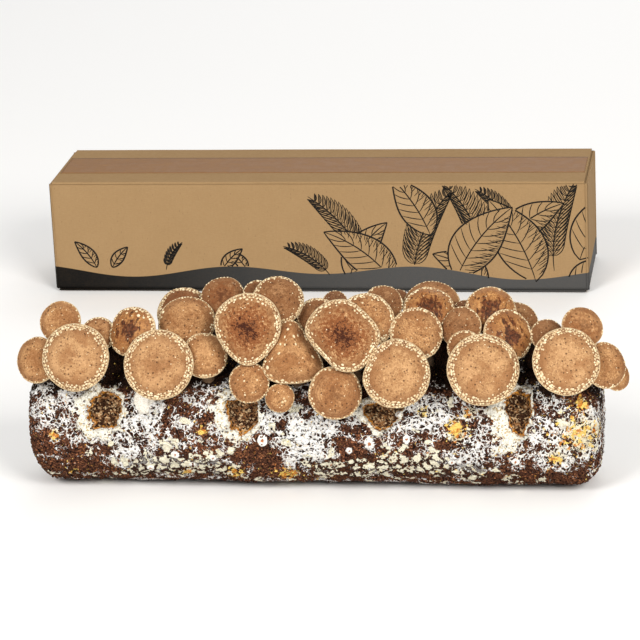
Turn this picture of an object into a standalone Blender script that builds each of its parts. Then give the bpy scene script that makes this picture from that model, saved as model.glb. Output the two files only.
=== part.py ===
"""Shiitake grow kit: a sawdust log with mushrooms growing on it, and the shipping carton behind it.

Metres, +Z up. The origin is the middle of the log's flat underside. +X runs along the log,
and +Y goes from the log's front back to the carton.
"""
import math

import bmesh
import bpy
from mathutils import Vector, noise

MM = 0.001

# The log: sawdust pressed in a sleeve and held together by the fungus.
LOG_LENGTH = 418 * MM
LOG_DEPTH = 100 * MM
LOG_HEIGHT = 94 * MM
LOG_SQUARENESS = 2.3
LOG_END_ROUND = 18 * MM
LOG_END_TURNS = (4, 34, 64, 90)
LOG_SIDES = 20
LOG_STATIONS = 17
LOG_LUMPS = 1.6 * MM
BROAD_LUMPS_PER_METRE = 28
FINE_LUMPS_PER_METRE = 70
LOG_FOOT_ROWS = 1
FOOT_END_INSET = 4.5 * MM

# Torn pits in the log's front: place along the log, clock angle up its front, width, height.
PITS = (
    ("left", -149 * MM, 23, 27 * MM, 33 * MM),
    ("left_middle", -47 * MM, 20, 25 * MM, 31 * MM),
    ("right_middle", 54 * MM, 20, 27 * MM, 24 * MM),
    ("right", 153 * MM, 24, 19 * MM, 36 * MM),
)
PIT_DEPTH = 9 * MM
PIT_RIM = 3.4 * MM
PIT_SIDES = 12
PIT_RINGS = 6

# The mushrooms, left to right: the middle of the cap's rim (x, y, z) and its width across in
# millimetres, the way it faces in degrees (turned from straight ahead to the right, then
# raised), and its root: millimetres along from the cap, and clock angle round the log.
MUSHROOMS = (
    ("mushroom_left_01", -198, -39, 103, 34, -18, 24, 5, 56),
    ("mushroom_left_02", -182, -26, 128, 31, -6, 30, 0, 70),
    ("mushroom_left_03", -167, -49, 109, 49, 2, 22, 1, 50),
    ("mushroom_left_04", -154, -27, 119, 26, 4, 34, 0, 68),
    ("mushroom_left_05", -127, -35, 124, 37, -18, 30, -1, 62),
    ("mushroom_left_06", -105, -53, 105, 50, 8, 21, -15, 27),
    ("mushroom_left_07", -97, 7, 125, 39, 4, 42, 0, 96),
    ("mushroom_left_08", -90, -18, 125, 42, 6, 44, 1, 78),
    ("mushroom_left_09", -74, -38, 107, 33, 10, 26, 0, 57),
    ("mushroom_left_10", -66, 3, 137, 33, 8, 38, 0, 90),
    ("mushroom_middle_01", -40, -44, 129, 52, 4, 20, -2, 66),
    ("mushroom_middle_02", -39, -7, 144, 20, 6, 36, -1, 88),
    ("mushroom_middle_03", -21, -22, 144, 37, 12, 40, 0, 78),
    ("mushroom_middle_04", -40, -51, 91, 29, 6, 16, 1, 47),
    ("mushroom_middle_05", -18, -52, 80, 21, 12, 14, 1, 32),
    ("mushroom_middle_06", -9, -42, 110, 50, 8, 24, 0, 56),
    ("mushroom_middle_07", 23, -57, 86, 38, 10, 14, -5, 27),
    ("mushroom_middle_08", 6, -17, 129, 31, 5, 38, 0, 80),
    ("mushroom_middle_09", 29, -50, 125, 56, 8, 24, 1, 58),
    ("mushroom_middle_10", 17, 0, 136, 18, 10, 52, 0, 94),
    ("mushroom_middle_11", 44, -32, 134, 38, 12, 30, 0, 71),
    ("mushroom_middle_12", 54, -11, 138, 28, 14, 38, 0, 84),
    ("mushroom_middle_13", 60, 19, 131, 18, 10, 50, 1, 104),
    ("mushroom_middle_14", 67, -56, 101, 49, 10, 20, 9, 46),
    ("mushroom_middle_15", 80, -33, 123, 38, 14, 32, 1, 64),
    ("mushroom_middle_16", 87, -11, 133, 37, 16, 44, 0, 80),
    ("mushroom_middle_17", 86, 13, 128, 42, 8, 46, 0, 101),
    ("mushroom_right_01", 111, -25, 125, 30, -14, 30, 0, 70),
    ("mushroom_right_02", 112, 0, 128, 20, 5, 45, 1, 92),
    ("mushroom_right_03", 131, -8, 132, 37, 12, 40, 0, 84),
    ("mushroom_right_04", 149, 6, 118, 32, 30, 36, 1, 96),
    ("mushroom_right_05", 145, -26, 120, 37, 32, 30, 1, 68),
    ("mushroom_right_06", 115, -40, 115, 25, 2, 26, 2, 52),
    ("mushroom_right_07", 129, -53, 103, 51, 12, 22, 0, 48),
    ("mushroom_right_08", 172, -18, 117, 24, 16, 34, 0, 72),
    ("mushroom_right_09", 188, -51, 109, 48, 14, 24, -2, 50),
    ("mushroom_right_10", 198, -29, 127, 30, 22, 34, -3, 66),
    ("mushroom_right_11", 214, -34, 100, 33, 36, 26, -15, 60),
    ("mushroom_right_12", 221, -16, 86, 22, 40, 22, -22, 68),
)

# Caps that grew against each other have straight sides: where on the cap's clock, 0 at the
# right and 90 at the top, and how far out, as a share of the cap's radius.
PRESSED = {
    "mushroom_middle_01": ((188, 0.96), (220, 0.88), (318, 0.87), (352, 0.96)),
    "mushroom_middle_06": ((153, 0.70), (30, 0.63), (270, 0.86)),
    "mushroom_middle_09": ((220, 0.69), (40, 0.90), (266, 0.90), (327, 0.90)),
    "mushroom_middle_14": ((146, 0.88),),
}
PRESS_SHARPNESS = 9

# The cap's section out from its middle, as shares of its radius: out, then up from the rim.
CAP_DOME = ((0.50, 0.27), (0.86, 0.12))
CAP_CROWN = 0.31
CAP_LIP = (0.90, -0.15)
CAP_GILLS = (0.24, -0.11)

# The stem: its girth, its rings as shares of its length, and how far its curve keeps the
# direction that it leaves the cap with and the one that it meets the log with.
STEM_FLARE = 1.25
STEM_MIN_RADIUS = 2.6 * MM
STEM_SHARE = 0.19
STEM_RINGS = (0.35, 0.7, 1.0)
STEM_RINGS_SMALL = (0.5, 1.0)
STEM_PULL_AT_CAP = 0.28
STEM_PULL_AT_LOG = 0.42
STEM_LOOK_BACK = 0.02
ROOT_SINK = 5 * MM

# Widths in millimetres above which a cap has more sides, and its stem one more ring.
LARGE_CAP = 46
SMALL_CAP = 31

# Touching pieces keep a hair of room between them.
GAP = 0.35 * MM
ROOT_ROOM = 0.56 * MM
SMOOTH_BELOW = 40

# The carton: single-wall board, four panels round, flaps above and below, taped shut.
CARTON_MIDDLE = -63 * MM
CARTON_FRONT = 427 * MM
CARTON_LENGTH = 470 * MM
CARTON_DEPTH = 104 * MM
CARTON_HEIGHT = 100 * MM
BOARD = 1.6 * MM
FOLD_ROUND = 1.2 * MM
LONG_FLAP_LENGTH = 464 * MM
FLAP_MEET_GAP = 1.0 * MM
END_FLAP_REACH = 50 * MM
TAPE_WIDTH = 48 * MM
TAPE_LENGTH = 462 * MM
TAPE_THICKNESS = 0.3 * MM

# Each material's name, colour and roughness.
SAWDUST = ("log_sawdust", (0.12, 0.07, 0.045), 0.95)
FLESH = ("mushroom_flesh", (0.62, 0.42, 0.24), 0.8)
CARDBOARD = ("carton_board", (0.51, 0.36, 0.20), 0.85)
TAPE = ("packing_tape", (0.33, 0.20, 0.10), 0.35)


def material(name, colour, roughness):
    """A plain Principled material, found again by its name when another piece uses it."""
    made = bpy.data.materials.get(name)
    if made is None:
        made = bpy.data.materials.new(name)
        made.use_nodes = True
        shader = made.node_tree.nodes["Principled BSDF"]
        shader.inputs["Base Color"].default_value = (*colour, 1)
        shader.inputs["Roughness"].default_value = roughness
        shader.inputs["Metallic"].default_value = 0
    return made


def add_object(name, bm, finish, smooth=True):
    """Turn a bmesh into a named object with one material."""
    bmesh.ops.recalc_face_normals(bm, faces=bm.faces)
    mesh = bpy.data.meshes.new(name)
    bm.to_mesh(mesh)
    bm.free()
    mesh.materials.append(finish)
    if smooth:
        mesh.shade_smooth()
        mesh.set_sharp_from_angle(angle=math.radians(SMOOTH_BELOW))
    obj = bpy.data.objects.new(name, mesh)
    bpy.context.collection.objects.link(obj)
    return obj


def ring_body(rings, first, last):
    """A closed skin drawn through rings of points, closed by a point at each end."""
    bm = bmesh.new()
    place = bm.verts.layers.int.new("place")
    circle = bmesh.ops.create_circle(bm, segments=len(rings[0]), radius=1 * MM)["verts"]
    for number, vert in enumerate(circle):
        vert[place] = number
        vert.co = rings[0][number]
    edges = bm.edges[:]
    close_ring(bm, edges, first)
    for ring in rings[1:]:
        grown = bmesh.ops.extrude_edge_only(bm, edges=edges)["geom"]
        verts = {item for item in grown if isinstance(item, bmesh.types.BMVert)}
        edges = [item for item in grown if isinstance(item, bmesh.types.BMEdge)
                 and item.verts[0] in verts and item.verts[1] in verts]
        for vert in verts:
            vert.co = ring[vert[place]]
    close_ring(bm, edges, last)
    return bm


def close_ring(bm, edges, middle):
    """Fill a ring of edges with a fan round one middle point."""
    face = bmesh.ops.contextual_create(bm, geom=edges)["faces"][0]
    fan = bmesh.ops.poke(bm, faces=[face])
    fan["verts"][0].co = middle


def box(bm, low, high):
    """Add a box between two corners."""
    made = bmesh.ops.create_cube(bm, size=1)["verts"]
    size = Vector(high) - Vector(low)
    middle = (Vector(high) + Vector(low)) / 2
    bmesh.ops.scale(bm, vec=size, verts=made)
    bmesh.ops.translate(bm, vec=middle, verts=made)


def log_section(angle, inset):
    """A point of the log's rounded section. The clock angle is 0 at the front, 90 on top."""
    across, up = math.cos(math.radians(angle)), math.sin(math.radians(angle))
    power = 2 / LOG_SQUARENESS
    y = -(LOG_DEPTH / 2 - inset) * math.copysign(abs(across) ** power, across)
    z = (LOG_HEIGHT / 2 - inset) * math.copysign(abs(up) ** power, up)
    return y, z + LOG_HEIGHT / 2


def end_inset(x):
    """How far the log's rounded ends draw the section in at a place along it."""
    from_end = LOG_LENGTH / 2 - abs(x)
    if from_end >= LOG_END_ROUND:
        return 0.0
    bow = 1 - from_end / LOG_END_ROUND
    return LOG_END_ROUND * (1 - math.sqrt(max(0.0, 1 - bow ** 2)))


def log_skin(x, angle):
    """A point of the log's lumpy skin."""
    y, z = log_section(angle, end_inset(x))
    point = Vector((x, y, z))
    middle = Vector((x, 0, LOG_HEIGHT / 2))
    lump = noise.noise(point * BROAD_LUMPS_PER_METRE) * LOG_LUMPS
    lump += noise.noise(point * FINE_LUMPS_PER_METRE) * LOG_LUMPS / 2
    return point + (point - middle).normalized() * (lump - LOG_LUMPS / 2)


def build_log_mesh():
    """The log's skin, with rounded ends and a flat foot."""
    half = LOG_LENGTH / 2
    stations = []
    for turn in LOG_END_TURNS:
        bow = math.radians(turn)
        stations.append(-half + LOG_END_ROUND * (1 - math.cos(bow)))
    span = LOG_LENGTH - 2 * LOG_END_ROUND
    for step in range(1, LOG_STATIONS):
        stations.append(-span / 2 + span * step / LOG_STATIONS)
    stations += [-x for x in reversed(stations[:len(LOG_END_TURNS)])]
    rings = []
    for x in stations:
        ring = []
        for side in range(LOG_SIDES):
            angle = 270 + 360 * side / LOG_SIDES
            point = log_skin(x, angle)
            underneath = min(side, LOG_SIDES - side) <= LOG_FOOT_ROWS
            if underneath and end_inset(x) < FOOT_END_INSET:
                point.z = 0
            point.z = max(point.z, 0)
            ring.append(point)
        rings.append(ring)
    first = Vector((-half, 0, LOG_HEIGHT / 2))
    last = Vector((half, 0, LOG_HEIGHT / 2))
    return ring_body(rings, first, last)


def clock_direction(angle):
    """The way out of the log at a clock angle."""
    return Vector((0, -math.cos(math.radians(angle)), math.sin(math.radians(angle))))


def pit_tool(name, x, angle, width, height, depth, rim):
    """A pit's hollow, or with a rim its raised collar, as an oval laid on the log's skin."""
    bm = bmesh.new()
    made = bmesh.ops.create_uvsphere(bm, u_segments=PIT_SIDES, v_segments=PIT_RINGS,
                                     radius=1)["verts"]
    size = Vector((width / 2 + rim, height / 2 + rim, depth))
    bmesh.ops.scale(bm, vec=size, verts=made)
    turn = Vector((0, 0, 1)).rotation_difference(clock_direction(angle)).to_matrix()
    bmesh.ops.rotate(bm, matrix=turn, verts=made, cent=(0, 0, 0))
    bmesh.ops.translate(bm, vec=log_skin(x, angle), verts=made)
    tool = add_object(name, bm, material(*SAWDUST))
    tool.hide_render = True
    tool.display_type = "WIRE"
    return tool


def cut_with(obj, tool, operation="DIFFERENCE"):
    """Add an exact Boolean that uses another object."""
    cut = obj.modifiers.new(tool.name, "BOOLEAN")
    cut.solver = "EXACT"
    cut.operation = operation
    cut.object = tool


def build_log():
    """The log with its torn pits. Each pit has a raised, rounded collar round its mouth."""
    log = add_object("log", build_log_mesh(), material(*SAWDUST))
    for name, x, angle, width, height in PITS:
        collar = pit_tool("pit_collar_" + name, x, angle, width, height, PIT_RIM, PIT_RIM)
        cut_with(log, collar, "UNION")
    for name, x, angle, width, height in PITS:
        cut_with(log, pit_tool("pit_hollow_" + name, x, angle, width, height, PIT_DEPTH, 0.0))
    return log


def build_root_room(log):
    """The log's own form grown by the gap, which trims each stem where it meets the log."""
    bpy.context.view_layer.update()
    shape = log.evaluated_get(bpy.context.evaluated_depsgraph_get())
    bm = bmesh.new()
    bm.from_mesh(shape.to_mesh())
    bm.normal_update()
    for vert in bm.verts:
        vert.co += vert.normal * ROOT_ROOM
    room = add_object("root_room", bm, material(*SAWDUST))
    room.hide_render = True
    room.display_type = "WIRE"
    return room


def cap_reach(clock, flats):
    """How far the cap's edge reaches at a clock angle, less than 1 where it was pressed flat."""
    total = 1.0
    for flat_at, reach in flats:
        toward = math.cos(math.radians(clock - flat_at))
        if toward > 0:
            total += (toward / reach) ** PRESS_SHARPNESS
    return total ** (-1 / PRESS_SHARPNESS)


def stem_path(start, away, root, inward, share):
    """A point on the stem's curve, which leaves the cap squarely and enters the log squarely."""
    pull = (root - start).length
    first = start + away * pull * STEM_PULL_AT_CAP
    second = root - inward * pull * STEM_PULL_AT_LOG
    rest = 1 - share
    return (start * rest ** 3 + first * 3 * rest ** 2 * share
            + second * 3 * rest * share ** 2 + root * share ** 3)


def build_mushroom(name, x, y, z, across, turn, lift, root_shift, root_angle, room):
    """One mushroom: a domed cap with a rolled lip, a flat gill face and a bent stem."""
    centre = Vector((x, y, z)) * MM
    radius = across / 2 * MM
    sides = 14 if across > LARGE_CAP else 12 if across > SMALL_CAP else 10
    facing_round, facing_up = math.radians(turn), math.radians(lift)
    axis = Vector((math.sin(facing_round) * math.cos(facing_up),
                   -math.cos(facing_round) * math.cos(facing_up), math.sin(facing_up)))
    right = Vector((0, 0, 1)).cross(axis).normalized()
    up = axis.cross(right)
    flats = PRESSED.get(name, ())

    def cap_ring(out, height):
        ring = []
        for side in range(sides):
            clock = 360 * side / sides
            reach = out * radius * cap_reach(clock, flats)
            swing = math.radians(clock)
            ring.append(centre + right * math.cos(swing) * reach + up * math.sin(swing) * reach
                        + axis * height * radius)
        return ring

    rings = [cap_ring(out, height) for out, height in CAP_DOME]
    rings += [cap_ring(1.0, 0.0), cap_ring(*CAP_LIP), cap_ring(*CAP_GILLS)]

    stem_radius = max(radius * STEM_SHARE, STEM_MIN_RADIUS)
    start = centre + axis * CAP_GILLS[1] * radius
    outward = clock_direction(root_angle)
    root = log_skin((x + root_shift) * MM, root_angle) - outward * ROOT_SINK
    for share in STEM_RINGS if across > SMALL_CAP else STEM_RINGS_SMALL:
        here = stem_path(start, -axis, root, -outward, share)
        ahead = stem_path(start, -axis, root, -outward, share - STEM_LOOK_BACK)
        along = (ahead - here).normalized()
        side_way = (right - along * right.dot(along)).normalized()
        up_way = along.cross(side_way)
        girth = stem_radius * (1 + (STEM_FLARE - 1) * share ** 2)
        rings.append([here + (side_way * math.cos(2 * math.pi * side / sides)
                              + up_way * math.sin(2 * math.pi * side / sides)) * girth
                      for side in range(sides)])
    crown = centre + axis * CAP_CROWN * radius
    bm = ring_body(rings, crown, root)
    body = add_object(name, bm, material(*FLESH))
    cut_with(body, room)
    return body


def board_panel(name, low, high, round_edges=()):
    """One flat panel of board. A round edge is a fold, named by its y and z."""
    bm = bmesh.new()
    box(bm, low, high)
    folds = [edge for edge in bm.edges if any(
        all(abs(vert.co.y - y) < MM / 10 and abs(vert.co.z - z) < MM / 10 for vert in edge.verts)
        for y, z in round_edges)]
    if folds:
        bmesh.ops.bevel(bm, geom=folds, offset=FOLD_ROUND, segments=2, profile=0.5,
                        affect="EDGES", material=-1)
    return add_object(name, bm, material(*CARDBOARD), smooth=False)


def build_carton_walls(low_z, high_z):
    """The four side panels, folded round from one strip of board."""
    left = CARTON_MIDDLE - CARTON_LENGTH / 2
    right = CARTON_MIDDLE + CARTON_LENGTH / 2
    back = CARTON_FRONT + CARTON_DEPTH
    bm = bmesh.new()
    box(bm, (left, CARTON_FRONT, low_z), (right, back, high_z))
    ends = [face for face in bm.faces if abs(face.normal.z) > 0.5]
    bmesh.ops.delete(bm, geom=ends, context="FACES")
    corners = [edge for edge in bm.edges
               if abs(edge.verts[0].co.z - edge.verts[1].co.z) > MM]
    bmesh.ops.bevel(bm, geom=corners, offset=FOLD_ROUND, segments=2, profile=0.5,
                    affect="EDGES", material=-1)
    walls = add_object("carton_walls", bm, material(*CARDBOARD), smooth=False)
    board = walls.modifiers.new("board", "SOLIDIFY")
    board.thickness = BOARD
    board.offset = -1
    return walls


def build_carton():
    """The walls, four flaps and one strip of tape above, and the same below."""
    left = CARTON_MIDDLE - CARTON_LENGTH / 2
    right = CARTON_MIDDLE + CARTON_LENGTH / 2
    back = CARTON_FRONT + CARTON_DEPTH
    meet = (CARTON_FRONT + back) / 2
    top = CARTON_HEIGHT
    bottom = TAPE_THICKNESS + GAP
    build_carton_walls(bottom + BOARD + GAP, top - BOARD - GAP)

    flap_left = CARTON_MIDDLE - LONG_FLAP_LENGTH / 2
    flap_right = CARTON_MIDDLE + LONG_FLAP_LENGTH / 2
    inner = BOARD + GAP
    for level, outside, step in (("top", top, -1), ("bottom", bottom, 1)):
        inside = outside + step * BOARD
        low_z, high_z = sorted((outside, inside))
        board_panel("carton_%s_flap_front" % level,
                    (flap_left, CARTON_FRONT, low_z),
                    (flap_right, meet - FLAP_MEET_GAP / 2, high_z), [(CARTON_FRONT, outside)])
        board_panel("carton_%s_flap_back" % level,
                    (flap_left, meet + FLAP_MEET_GAP / 2, low_z),
                    (flap_right, back, high_z), [(back, outside)])
        outer = inside + step * GAP
        low_z, high_z = sorted((outer, outer + step * BOARD))
        board_panel("carton_%s_flap_left" % level,
                    (left + inner, CARTON_FRONT + inner, low_z),
                    (left + inner + END_FLAP_REACH, back - inner, high_z))
        board_panel("carton_%s_flap_right" % level,
                    (right - inner - END_FLAP_REACH, CARTON_FRONT + inner, low_z),
                    (right - inner, back - inner, high_z))
        sticky = outside - step * GAP
        low_z, high_z = sorted((sticky, sticky - step * TAPE_THICKNESS))
        bm = bmesh.new()
        box(bm, (CARTON_MIDDLE - TAPE_LENGTH / 2, meet - TAPE_WIDTH / 2, low_z),
            (CARTON_MIDDLE + TAPE_LENGTH / 2, meet + TAPE_WIDTH / 2, high_z))
        add_object("carton_%s_tape" % level, bm, material(*TAPE), smooth=False)


for old in list(bpy.data.objects):
    bpy.data.objects.remove(old)
log_body = build_log()
root_trim = build_root_room(log_body)
for row in MUSHROOMS:
    build_mushroom(*row, root_trim)
build_carton()
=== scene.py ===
import math
import random

import bmesh
import bpy
from mathutils import Matrix, Vector, noise


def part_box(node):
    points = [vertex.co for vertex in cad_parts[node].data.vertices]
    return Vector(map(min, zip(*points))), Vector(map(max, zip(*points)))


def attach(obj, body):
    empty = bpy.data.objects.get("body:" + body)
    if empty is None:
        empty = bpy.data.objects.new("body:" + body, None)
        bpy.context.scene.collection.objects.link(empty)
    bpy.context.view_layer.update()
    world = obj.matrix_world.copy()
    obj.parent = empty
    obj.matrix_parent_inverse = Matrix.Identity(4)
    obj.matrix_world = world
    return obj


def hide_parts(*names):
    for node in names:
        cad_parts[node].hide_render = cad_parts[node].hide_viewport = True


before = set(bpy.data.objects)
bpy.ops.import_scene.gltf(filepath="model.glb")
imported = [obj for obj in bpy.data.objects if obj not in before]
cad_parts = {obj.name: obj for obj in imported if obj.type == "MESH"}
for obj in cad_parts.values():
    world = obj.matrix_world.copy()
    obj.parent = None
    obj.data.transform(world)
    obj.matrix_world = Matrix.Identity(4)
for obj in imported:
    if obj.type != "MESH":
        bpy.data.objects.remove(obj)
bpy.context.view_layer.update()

MM = 0.001

# The camera looks along a long lens at the log's mushroom side. It stands a little higher than
# the carton and right of the middle, and is turned, tipped and rolled as it was for the photograph.
CAMERA_PLACE = (0.348, -2.118, 0.851)
CAMERA_TURN = math.radians(9.19)
CAMERA_DIP = math.radians(18.78)
CAMERA_ROLL = math.radians(-2.69)
FOCAL_LENGTH = 175.2
SENSOR_WIDTH = 36

ahead = Vector((-math.sin(CAMERA_TURN) * math.cos(CAMERA_DIP),
                math.cos(CAMERA_TURN) * math.cos(CAMERA_DIP), -math.sin(CAMERA_DIP)))
level = Vector((math.cos(CAMERA_TURN), math.sin(CAMERA_TURN), 0))
above = level.cross(ahead)
right_way = math.cos(CAMERA_ROLL) * level + math.sin(CAMERA_ROLL) * above
up_way = math.cos(CAMERA_ROLL) * above - math.sin(CAMERA_ROLL) * level
camera = bpy.data.objects.new("camera", bpy.data.cameras.new("camera"))
camera.matrix_world = (Matrix.Translation(CAMERA_PLACE)
                       @ Matrix((right_way, up_way, -ahead)).transposed().to_4x4())
camera.data.lens = FOCAL_LENGTH
camera.data.sensor_width = SENSOR_WIDTH
camera.data.clip_end = 30
bpy.context.collection.objects.link(camera)
bpy.context.scene.camera = camera

# The surface is a wide white sheet, lit by a white tent all round and by two large soft lamps
# in front, the stronger one up on the left, so that only soft contact shadows show.
FLOOR_SIZE = 16
FLOOR_COLOUR = (0.93, 0.925, 0.915, 1)
TENT_STRENGTH = 0.38
LAMPS = (
    ("key_lamp", (-1.25, -2.35, 1.94), 1.2, 66, (1.0, 0.985, 0.96), (0, 0.1, 0.06)),
    ("fill_lamp", (1.6, -1.95, 1.65), 1.3, 70, (1.0, 0.98, 0.95), (0, 0.1, 0.06)),
    ("back_lamp", (0.3, 2.5, 2.3), 1.8, 16, (0.98, 0.99, 1.0), (0, 0.1, 0.06)),
    ("sheet_lamp", (0.2, 2.6, 1.6), 2.6, 13, (1.0, 1.0, 1.0), (0.15, 2.1, 0)),
)

floor_mesh = bmesh.new()
bmesh.ops.create_grid(floor_mesh, x_segments=1, y_segments=1, size=FLOOR_SIZE / 2)
floor_data = bpy.data.meshes.new("floor")
floor_mesh.to_mesh(floor_data)
floor_mesh.free()
floor = bpy.data.objects.new("floor", floor_data)
bpy.context.collection.objects.link(floor)
floor_paint = bpy.data.materials.new("floor_sheet")
floor_paint.use_nodes = True
floor_shader = floor_paint.node_tree.nodes["Principled BSDF"]
floor_shader.inputs["Base Color"].default_value = FLOOR_COLOUR
floor_shader.inputs["Roughness"].default_value = 0.9
floor_shader.inputs["Specular IOR Level"].default_value = 0.1
floor_data.materials.append(floor_paint)

for lamp_name, lamp_place, lamp_size, lamp_power, lamp_colour, lamp_target in LAMPS:
    lamp_data = bpy.data.lights.new(lamp_name, "AREA")
    lamp_data.size = lamp_size
    lamp_data.energy = lamp_power
    lamp_data.color = lamp_colour
    lamp = bpy.data.objects.new(lamp_name, lamp_data)
    lamp.location = lamp_place
    lamp.rotation_euler = (Vector(lamp_target) - Vector(lamp_place)).to_track_quat("-Z", "Y").to_euler()
    bpy.context.collection.objects.link(lamp)

tent = bpy.data.worlds.new("tent")
tent.use_nodes = True
tent.node_tree.nodes["Background"].inputs["Color"].default_value = (1, 1, 1, 1)
tent.node_tree.nodes["Background"].inputs["Strength"].default_value = TENT_STRENGTH
bpy.context.scene.world = tent
bpy.context.scene.view_settings.view_transform = "Standard"

# The log is damp hardwood sawdust, pressed in a sleeve and bound by the fungus that grew
# through it: chocolate-brown crumbs under a lace of white threads, cream plates where it lay
# in water, and four torn pits with cream lips where clusters were picked.
LOG_LENGTH = 418 * MM
LOG_DEPTH = 100 * MM
LOG_HEIGHT = 94 * MM
LOG_SQUARENESS = 2.3
LOG_END_ROUND = 18 * MM
LOG_LUMPS = 1.6 * MM
LOG_MIDDLE = LOG_HEIGHT / 2
MM_PER_DEGREE = 0.84
# Sizes in the log's relief: lumps, crumbs and grains to a metre.
BROAD_LUMPS = 34
MEDIUM_LUMPS = 110
CRUMBS_PER_METRE = 330
GRAINS_PER_METRE = 760
# How high crumbs, grains, thick white mats, cream plates and buttons stand, in millimetres.
CRUMB_HEIGHT, GRAIN_HEIGHT, MAT_HEIGHT, PLATE_HEIGHT, BUTTON_HEIGHT = 1.15, 0.55, 0.5, 0.35, 1.1
# White cover before the spots below, and how much it thins from one clock angle to another.
MEAN_COVER = 0.33
# Under the caps, from 34 to 60 degrees, the thinning darkens the log as painted shade as well as
# thinner growth; at the lower front it is the growth's own.
THINNING_AND_SHADE = ((0.25, 34, 60), (0.16, -18, -42))
SPOT_SOFTNESS = 1.4
ROWS_ALONG = 400
ROWS_ROUND = 232
END_FACE_ROWS = 22
END_BEND_ROWS = 20
# Clock angles round the log, 0 at the front and 90 on top, and the share of rows before each.
ROUND_STOPS = ((-90, 0.0), (-62, 0.055), (112, 0.70), (270, 1.0))
# Pits: x, clock angle, width and height in millimetres, how far they narrow downward, and how
# wide the lip on their left is.
PITS = (
    (-149, 23, 27, 33, 0.0, 0.45),
    (-47, 20, 25, 31, 0.1, 0.5),
    (54, 20, 27, 24, 0.55, 0.25),
    (153, 25, 19, 36, 0.1, 1.1),
)
# A pit's depth and its lip's height in millimetres, and how far out from its middle, in half
# widths, the lip is felt.
PIT_DEPTH = 8.5
LIP_HEIGHT = 2.3
LIP_REACH = 2.8
# Mats of white growth and bare places: x, clock angle, radius in millimetres, how much.
GROWTH = (
    (-185, 23, 13, 0.2), (-178, 6, 11, 0.1), (-120, -10, 20, 0.15), (-150, 44, 16, -0.25),
    (-102, 12, 14, 0.1), (-30, 22, 14, 0.35), (-3, 0, 19, 0.6), (-29, -17, 16, -0.8),
    (15, 10, 15, 0.4), (76, 14, 20, 0.3), (98, 23, 15, 0.3), (118, -10, 15, 0.3),
    (166, -10, 18, 0.22), (182, 10, 20, 0.1), (200, -2, 14, 0.15), (202, 22, 14, 0.2),
    (196, -16, 16, 0.15), (-204, -6, 17, -0.6), (-166, -22, 16, -0.4), (-82, -13, 15, -0.45),
    (-74, 26, 14, -0.2), (-198, -40, 30, -0.3), (-44, -16, 17, -0.45), (22, -22, 13, -0.4),
    (38, -14, 14, -0.7), (62, -16, 15, -0.5), (84, -21, 18, -0.7), (139, -14, 8, -0.35),
    (-136, 38, 9, -0.5), (156, -42, 28, -0.4), (-96, 34, 12, -0.2), (-120, 20, 12, 0.8),
)
# Cream plates along the foot, and amber drops of old water: x, clock angle, radius, how much.
PLATES = (
    (-120, -29, 15, 1.2), (-96, -28, 15, 1.2), (-72, -30, 15, 1.15), (14, -32, 14, 1.1),
    (40, -29, 15, 1.35), (68, -26, 14, 1.35), (92, -27, 14, 1.35), (118, -34, 13, 1.1),
    (148, -40, 12, 0.6), (-160, -50, 16, 0.4), (-40, -46, 18, 0.4), (-136, -44, 10, 0.6),
)
AMBER = (
    (-76, 6, 4, 1.0), (108, 8, 8, 1.1), (197, 34, 6, 1.0), (-187, 2, 4, 1.0), (-57, -38, 9, 0.7),
    (-18, -38, 10, 0.9), (-176, -40, 6, 0.5), (118, 24, 6, 0.6), (200, 6, 12, 0.5),
    (178, -14, 7, 0.6), (84, 24, 6, 0.5), (192, 6, 24, 0.25), (150, -6, 16, 0.16),
    (-112, 42, 5, 0.8), (-92, -36, 5, 0.7),
)
# Buttons: aborted mushrooms, small white rings round an orange-brown navel. x, angle, radius.
BUTTONS = (
    (45, -2, 3.4), (-33, -1, 3.2), (-98, -13, 2.8), (-118, -30, 2.6), (30, -8, 2.2),
    (66, 22, 2.4), (72, 1, 2.2), (-70, -16, 2.2), (150, -16, 2.6), (104, -18, 2.4),
    (-4, 14, 2.2), (12, -14, 2.2), (186, -22, 2.2), (-86, -24, 2.4),
)


def ease(low, high, value):
    """0 below low, 1 above high and a soft step between."""
    share = min(max((value - low) / (high - low), 0.0), 1.0)
    return share * share * (3 - 2 * share)


def log_section(angle, inset):
    """A point of the log's rounded section, as y and z."""
    across, up = math.cos(math.radians(angle)), math.sin(math.radians(angle))
    power = 2 / LOG_SQUARENESS
    y = -(LOG_DEPTH / 2 - inset) * math.copysign(abs(across) ** power, across)
    z = (LOG_HEIGHT / 2 - inset) * math.copysign(abs(up) ** power, up)
    return y, z + LOG_MIDDLE


def end_inset(x):
    """How far the log's rounded ends draw the section in at a place along it."""
    from_end = LOG_LENGTH / 2 - abs(x)
    if from_end >= LOG_END_ROUND:
        return 0.0
    bow = 1 - max(from_end, 0.0) / LOG_END_ROUND
    return LOG_END_ROUND * (1 - math.sqrt(max(0.0, 1 - bow ** 2)))


def log_skin(x, angle):
    """A point of the log's skin with its broad lumps."""
    y, z = log_section(angle, end_inset(x))
    point = Vector((x, y, z))
    middle = Vector((x, 0, LOG_MIDDLE))
    lump = noise.noise(point * 28) * LOG_LUMPS + noise.noise(point * 70) * LOG_LUMPS / 2
    return point + (point - middle).normalized() * (lump - LOG_LUMPS / 2)


def clock_direction(angle):
    """The way out of the log at a clock angle."""
    return Vector((0, -math.cos(math.radians(angle)), math.sin(math.radians(angle))))


def near(x, angle, spots):
    """The sum of soft round spots at a place on the log's skin."""
    total = 0.0
    for spot_x, spot_angle, radius, amount in spots:
        across = (x - spot_x) / radius
        if abs(across) < 2:
            up = (angle - spot_angle) * MM_PER_DEGREE / radius
            total += amount * math.exp(-SPOT_SOFTNESS * (across * across + up * up))
    return total


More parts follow.
